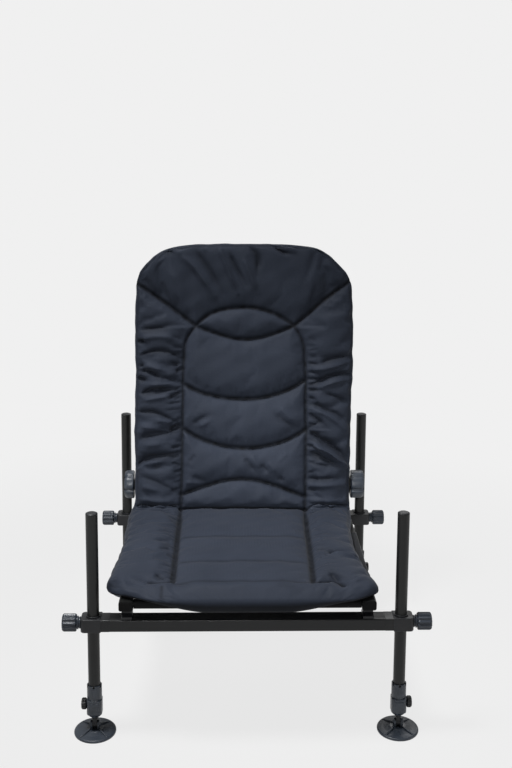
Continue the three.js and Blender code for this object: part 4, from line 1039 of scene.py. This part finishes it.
def foot_disc(tag, place):
    parts = [turned(DISC, 96)]
    for turn in (45, 135, 225, 315):
        rib = [(14, -15), (41, -15), (41, -12.2), (17.4, -5.6), (14, -5.6)]
        parts.append(moved(moved(prism(rib, -1.6, 1.6, 0.5, 2), spin(90, "X")), spin(turn, "Z")))
    ear = [(-9, -9.6), (9, -9.6)] + arc(0, 0, 9, 0, 180, 20)
    upright = Matrix(((0, 0, 1, 0), (1, 0, 0, 0), (0, 1, 0, 0), (0, 0, 0, 1)))
    plate = moved(prism(ear, 0, 5, 0.7, 2), upright)
    parts += [at(plate, x=x) for x in (-9.8, 4.8)]
    parts.append(turned(FOOT_PIN, 32, "X"))
    build(f"foot_plate_{tag}", merged(*parts), place, BLUE_GREY, f"foot_disc_{tag}", f"foot_disc_{tag}")


for row, (span_x, bar_v, _) in ROWS.items():
    for side, way in SIDES.items():
        tag = f"{row}_{side}"
        leg, mirror = leg_at(row, side), MIRROR[side]
        build(f"leg_pipe_{tag}", turned(PIPE, 56), leg, FRAME_BLACK, f"leg_{tag}", f"leg_tube_{tag}",
              weld=False)
        build(f"leg_lid_{tag}", turned(LID, 56), leg, BLACK_PLASTIC, f"leg_{tag}", f"leg_plug_{tag}")
        end_cap(tag, chair_at(way * span_x, bar_v, 0) @ mirror)
        knob(f"clamp_grip_{tag}", f"clamp_knob_{tag}",
             chair_at(way * (span_x + CLAMP_OUT), bar_v, BAR_MIDDLE) @ mirror,
             BLUE_GREY, CLAMP, 144, fluted(12, 2.8, 2.4, 14.6, 6))
        foot_block(tag, leg @ mirror)
        knob(f"foot_lock_{tag}", f"foot_knob_{tag}", leg_at(row, side, LOCK_UP) @ mirror,
             BLACK_PLASTIC, FOOT_KNOB, 80, fluted(8, 1.3, 5, 9.3))
        foot_disc(tag, Matrix.Translation(leg_at(row, side, DISC_UP / math.cos(TILT)).translation))

# Back tubes
TUBE_X, TUBE_RADIUS, BEND_UP, TUBE_BEND = 226.0, 11, 480, 92
CROSS_RADIUS, CROSS_UP, CROSS_HALF = 8, 250, 214.4
rising = [(TUBE_X, 0, z) for z in (13.3, 150, 300, 470)]
bends = [(x, 0, z) for way, start in ((1, 0), (-1, 90))
         for x, z in arc(way * (TUBE_X - TUBE_BEND), BEND_UP, TUBE_BEND, start, start + 90, 16)]
back_path = rising + bends + [(-x, y, z) for x, y, z in reversed(rising)]
build("back_tube", sweep(back_path, TUBE_RADIUS, 36), back_at(), FRAME_BLACK, "backrest", "back_frame",
      weld=False)
build("back_cross_bar", hole(CROSS_RADIUS, -CROSS_HALF, CROSS_HALF, "X", 40), back_at(0, 0, CROSS_UP),
      FRAME_BLACK, "backrest", "back_cross_tube", weld=False)

# Hinge and recliner knobs
GRIP_FACES = {"left": 274.0, "right": 265.0}
SOCKET_BORE, BOLT_BORE = 11.35, 4.35
BOLT = rounded([
    (0, 208.4), (5.5, 208.6), (8, 210.4), (8, 212.7), (4, 212.7), (4, 271.0), (0, 271.0)], 0.6)
for side, face in GRIP_FACES.items():
    place = back_at() @ MIRROR[side]
    disc = turned(rounded([(0, 213), (26, 213), (26, 239), (0, 239)], 1.8, 4), 72, "X")
    hub = build(f"hinge_hub_{side}", disc, place, BLACK_PLASTIC, "backrest", f"hinge_socket_{side}")
    barrel = turned(rounded([(0, 5), (14.2, 5), (14.2, 52), (0, 52)], 1.0), 56)
    carve(hub, place, at(barrel, x=TUBE_X), operation="UNION")
    dish = turned([(14, 209), (21, 209), (21, 214.4), (14, 214.4), (14, 209)], 48, "X")
    carve(hub, place, at(hole(SOCKET_BORE, 13, 80), x=TUBE_X), hole(BOLT_BORE, 200, 260, "X", 24), dish)
    place = chair_at(*HINGE) @ MIRROR[side]
    build(f"hinge_pin_{side}", turned(BOLT, 40, "X"), place, STEEL, "chair", f"hinge_bolt_{side}")
    grip = rounded([
        (0, 272.2), (4.4, 272.2), (4.4, 263.0), (14, 263.0), (14, face), (32.6, face), (35, face + 1.4),
        (35, 290.6), (31.6, 296.6), (27.5, 297), (25.4, 294.4), (12.5, 293.2), (11, 295.8), (0, 296.4),
    ], 1.3)
    knob(f"recliner_grip_{side}", f"recliner_knob_{side}", place, BLUE_GREY, grip, 180,
         fluted(6, 4.2, 16, 29, start=math.radians(37.5)))

# Seat frame pieces
RAIL_X, RAIL_W = 250, 34
FRONT_RADIUS, FRONT_HALF, FRONT_V = 10, 234.6, -322
# The front tube wears the shaded black, painted shade.
build("front_tube", hole(FRONT_RADIUS, -FRONT_HALF, FRONT_HALF, "X"), chair_at(0, FRONT_V, RAIL_W),
      SHADED_BLACK, "chair", "front_seat_tube", weld=False)
for side, way in SIDES.items():
    for end, quarter, v in (("front", 90, -336.0), ("rear", -90, 326.0)):
        flange = prism(round_rect(29.6, 19.6, 4.2), 0.2, 2.8, 1.0, 3)
        shank = prism(round_rect(25.8, 15.8, 2.0), -14, 0.8, 0.3, 1)
        place = chair_at(way * RAIL_X, v, RAIL_W) @ spin(quarter, "X")
        # The rail ends wear the shaded black, painted shade.
        build(f"rail_end_{end}_{side}", merged(flange, shank), place, SHADED_BLACK, "chair")

# Sling, eyelets and lacing
FLAP_FRONT, FLAP_REAR, FLAP_TOP, FLAP_THICK = -182.0, 50.0, 37.6, 1.2
EYELET_PITCH = 47
EYELETS = [-160 + EYELET_PITCH * i for i in range(5)]
EYE_X, HIGH, LOW = 88.0, 40.3, 34.7
CORD_RADIUS = 1.3


def flap_section():
    """Across the flap: from the slit to the rail, once round it, and back under itself."""
    pts = [(x, FLAP_TOP) for x in (61.0, 66, 80, 110, 150, 190, 215)]
    pts += [(226, FLAP_TOP + 0.6), (231, FLAP_TOP + 3)]
    r, gap = 3.4, 0.8
    inner, outer, top, low = 235 - gap, 265 + gap, 44 + gap, 24 - gap
    for x, w, start in ((inner + r, top - r, 180), (outer - r, top - r, 90),
                        (outer - r, low + r, 0), (inner + r, low + r, -90)):
        pts += arc(x, w, r, start, start - 90, 5)
    pts += [(inner - 0.2, 30.0), (231.5, FLAP_TOP - 2.4)]
    return pts + [(226, FLAP_TOP - 1.6), (212, FLAP_TOP - 1.6)]


def flap(side):
    section = [Vector(p) for p in flap_section()]
    rows = np.linspace(FLAP_FRONT, FLAP_REAR, 47)
    verts = []
    for v in rows:
        pull = min(abs(v - e) for e in EYELETS)
        wave = (1 - math.cos(2 * math.pi * (v - EYELETS[0]) / EYELET_PITCH)) / 2
        for x, w in section:
            ripple = scallop = 0.0
            if x < 216 and w > 36:
                across = max(0.0, min(1.0, (215 - x) / 140))
                ripple = 0.9 * math.cos(math.pi * pull / (EYELET_PITCH / 2)) * (1 - abs(2 * across - 1))
            if x < 81:
                scallop = 1.6 * wave * max(0.0, 1 - (x - 61) / 20)
            verts.append((x + scallop, v, w + 0.35 * ripple))
    faces = [(a, d, c, b) for a, b, c, d in skin(len(rows), len(section), len(section) - 1)]
    obj = build(f"sling_cloth_{side}", (verts, faces), chair_at() @ MIRROR[side], SLING, "chair",
                f"sling_flap_{side}", sharp=180, weld=False)
    thick = obj.modifiers.new("thick", "SOLIDIFY")
    thick.thickness = FLAP_THICK * MM
    thick.offset = 0
    return obj


def eyelet_ring(v):
    ring = rounded([(3.2, -1.5), (6.2, -1.5), (6.5, -1.0), (4.2, -0.8), (4.2, 0.8), (6.5, 1.0), (6.2, 1.5),
                    (3.2, 1.5), (3.2, -1.5)], 0.4, 2)
    return at(turned(ring, 40), x=EYE_X, y=v, z=FLAP_TOP)


def flap_hems():
    """Folded edges at the front, the rear and the slit."""
    ends = [box(74, 6.6, FLAP_TOP - 1.5, FLAP_TOP + 1.1, 0.5, 2, (138, v))
            for v in (FLAP_FRONT + 7, FLAP_REAR - 7)]
    half, middle = (FLAP_REAR - FLAP_FRONT) / 2 - 14, (FLAP_FRONT + FLAP_REAR) / 2
    return merged(*ends, box(2, half, FLAP_TOP - 1.2, FLAP_TOP + 0.9, 0.3, 1, (102, middle)))


def stitches(lines, lift, length=4.2, gap=2.4, radius=0.32):
    """Short thread dashes along straight lines on the sling, above and below it."""
    parts = []
    for start, end in lines:
        a, b = Vector((*start, 0)), Vector((*end, 0))
        total, run = (b - a).length, 0.0
        d = (b - a).normalized()
        while run + length < total:
            p, q = a + d * run, a + d * (run + length)
            for z in (FLAP_TOP + lift, FLAP_TOP - lift - 0.3):
                dash = [(p.x, p.y, z - 0.2), ((p.x + q.x) / 2, (p.y + q.y) / 2, z), (q.x, q.y, z - 0.2)]
                parts.append(sweep(dash, radius, 6))
            run += length + gap
    return merged(*parts)


def lace(first, share):
    """One half of the cord, zigzag from eyelet to eyelet and out at the last one."""
    stops = [Vector(((first if i % 2 == 0 else -first) * EYE_X, v)) for i, v in enumerate(EYELETS)]
    start = Vector((-first * EYE_X, EYELETS[0]))
    last = stops[-1]
    end = Vector((last.x - math.copysign(34 / 3, last.x), last.y + 34))
    pts = []
    for come, stop, go in zip([start] + stops, stops, stops[1:] + [end]):
        a, b = (come - stop).normalized(), (go - stop).normalized()
        for way, off, z in ((a, 2.6, HIGH), (a, 0.6, HIGH - 0.8), (a, 0, FLAP_TOP), (b, 0.6, LOW + 0.8),
                            (b, 2.6, LOW)):
            pts.append((stop.x + way.x * off, stop.y + way.y * off, z))
        if stop is not last:
            pts += [(*stop.lerp(go, t), z) for t, z in ((share, LOW), (share + 0.14, HIGH))]
    middle = ((last.x + (end.x - last.x) * 0.5), (last.y + (end.y - last.y) * 0.5))
    return pts + [(*middle, LOW - 3.2), (*end, LOW - 10)]


def rounded_path(path, rounds=2):
    pts = [Vector(p) for p in path]
    for _ in range(rounds):
        out = [pts[0]]
        for a, b in zip(pts, pts[1:]):
            out += [a.lerp(b, 0.25), a.lerp(b, 0.75)]
        out.append(pts[-1])
        pts = out
    return pts


laces = lace(-1, 0.24)[::-1] + lace(1, 0.62)
build("sling_lacing", sweep(rounded_path(laces), CORD_RADIUS, 12), chair_at(), ELASTIC, "chair",
      "lacing_cord", sharp=180, weld=False)
LINES = [((66, v), (210, v)) for v in (FLAP_FRONT + 2, FLAP_FRONT + 11, FLAP_REAR - 2, FLAP_REAR - 11)]
LINES += [((x, FLAP_FRONT + 2), (x, FLAP_REAR - 2)) for x in (214, 217)]
for side in SIDES:
    place = chair_at() @ MIRROR[side]
    cloth = flap(side)
    rings = build(f"sling_eyelets_{side}", merged(*[eyelet_ring(v) for v in EYELETS]), place, BRASS_GREY,
                  "chair")
    hems = build(f"sling_hem_{side}", flap_hems(), place, SLING, "chair", sharp=40)
    threads = build(f"sling_stitches_{side}", stitches(LINES, 1.3), place, THREAD, "chair",
                    sharp=180, weld=False)

# Nodes of the frame that no piece replaces: their looks, and edges a little rounded
LOOKS = {
    "front_crossbar": BAR_BLACK, "rear_crossbar": BAR_BLACK, "seat_rail": FRAME_BLACK,
    "rail_riser": BLACK_PLASTIC, "recliner_bracket": FRAME_BLACK, "foot_stem": BLACK_PLASTIC,
}
for name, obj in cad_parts.items():
    look = next((look for start, look in LOOKS.items() if name.startswith(start)), None)
    if look and not obj.hide_render:
        wear(obj, look, 32)
        if look is not BAR_BLACK:
            edges = obj.modifiers.new("edges", "BEVEL")
            edges.width = 0.6 * MM
            edges.segments = 2
            edges.limit_method = "ANGLE"
            edges.angle_limit = math.radians(35)
        obj.modifiers.new("level", "WEIGHTED_NORMAL").keep_sharp = True

# Camera, placed and turned as fitted to the photograph
CAMERA_PLACE = (-0.0434, -2.4125, 1.4316)
FRAME_HEIGHT = 768
FOCAL_PIXELS, SHIFT_PIXELS = 1121.78, -84
SENSOR = 24
yaw, pitch, roll = math.radians(1.4925), math.radians(13.259), math.radians(0.4906)
fwd = Vector((math.sin(yaw) * math.cos(pitch), math.cos(yaw) * math.cos(pitch), -math.sin(pitch)))
right0 = Vector((math.cos(yaw), -math.sin(yaw), 0))
up0 = right0.cross(fwd)
right = right0 * math.cos(roll) + up0 * math.sin(roll)
up = up0 * math.cos(roll) - right0 * math.sin(roll)
camera_data = bpy.data.cameras.new("camera")
camera = new_object("camera", camera_data)
camera.matrix_world = Matrix((*zip(right, up, -fwd, CAMERA_PLACE), (0, 0, 0, 1)))
camera_data.sensor_fit = "VERTICAL"
camera_data.sensor_height = SENSOR
camera_data.lens = FOCAL_PIXELS * SENSOR / FRAME_HEIGHT
camera_data.shift_x = 0
camera_data.shift_y = SHIFT_PIXELS / FRAME_HEIGHT
camera_data.clip_start = 0.05
camera_data.clip_end = 60
scene.camera = camera

# Floor, backdrop and lights
BACKDROP = (0.871, 0.871, 0.871, 1)
GLOSSY_SHARE = 0.45


def seen_mix(tree, output, first, second, camera_ray, glossy_ray, share=None):
    """Shows the second shader to the camera and to reflections, and lights the scene by the first."""
    most = add(tree, "Math", {0: camera_ray, 1: glossy_ray}, operation="MAXIMUM").outputs[0]
    if share is not None:
        most = add(tree, "Math", {0: most, 1: share}, operation="MULTIPLY").outputs[0]
    mix = add(tree, "MixShader", {"Fac": most, 1: first.outputs[0], 2: second.outputs[0]})
    add(tree, output, {"Surface": mix.outputs[0]})


def make_floor():
    """One plain sheet, far enough to fill every view."""
    look = bpy.data.materials.new("backdrop")
    look.use_nodes = True
    tree = look.node_tree
    tree.nodes.clear()
    away = add(tree, "VectorMath", {0: coords(tree)}, operation="LENGTH").outputs["Value"]
    path = add(tree, "LightPath", {}).outputs
    seen_mix(tree, "OutputMaterial", add(tree, "BsdfDiffuse", {"Color": (0.8, 0.8, 0.8, 1)}),
             add(tree, "Emission", {"Color": BACKDROP}), path["Is Camera Ray"], path["Is Glossy Ray"],
             span(tree, away, 0.35, 1.5, 0.9, 1.0))
    size = 14.0
    mesh = bpy.data.meshes.new("floor")
    corners = [(-size, -size, 0), (size, -size, 0), (size, size, 0), (-size, size, 0)]
    mesh.from_pydata(corners, [], [(0, 1, 2, 3)])
    mesh.materials.append(look)
    new_object("floor", mesh)


def lamp(name, kind, place, target, power, **settings):
    data = bpy.data.lights.new(name, kind)
    data.energy = power
    for key, value in settings.items():
        setattr(data, key, value)
    obj = new_object(name, data)
    obj.location = place
    obj.rotation_mode = "QUATERNION"
    obj.rotation_quaternion = (Vector(target) - Vector(place)).to_track_quat("-Z", "Y")


def make_world():
    world = bpy.data.worlds.new("studio")
    scene.world = world
    world.use_nodes = True
    tree = world.node_tree
    tree.nodes.clear()
    path = add(tree, "LightPath", {}).outputs
    glossy = add(tree, "Math", {0: path["Is Glossy Ray"], 1: GLOSSY_SHARE}, operation="MULTIPLY")
    seen_mix(tree, "OutputWorld", add(tree, "Background", {"Color": (1, 1, 1, 1), "Strength": 0.09}),
             add(tree, "Background", {"Color": BACKDROP, "Strength": 1.0}),
             path["Is Camera Ray"], glossy.outputs[0])


make_floor()
lamp("key", "SPOT", (-0.8, -0.3, 2.9), (0.02, -0.12, 0.28), 300,
     spot_size=math.radians(40), spot_blend=1.0, shadow_soft_size=0.3)
lamp("front", "SPOT", (-0.5, -2.1, 1.5), (0.02, 0.2, 0.4), 190,
     spot_size=math.radians(19), spot_blend=1.0, shadow_soft_size=0.25)
lamp("side", "AREA", (2.1, -0.9, 0.9), (0, 0, 0.35), 2.8, shape="RECTANGLE", size=0.6, size_y=0.8)
lamp("rim", "AREA", (0.5, 2.1, 1.9), (0, 0, 0.5), 13, shape="RECTANGLE", size=1.6, size_y=0.8)
make_world()
scene.view_settings.view_transform = "Standard"
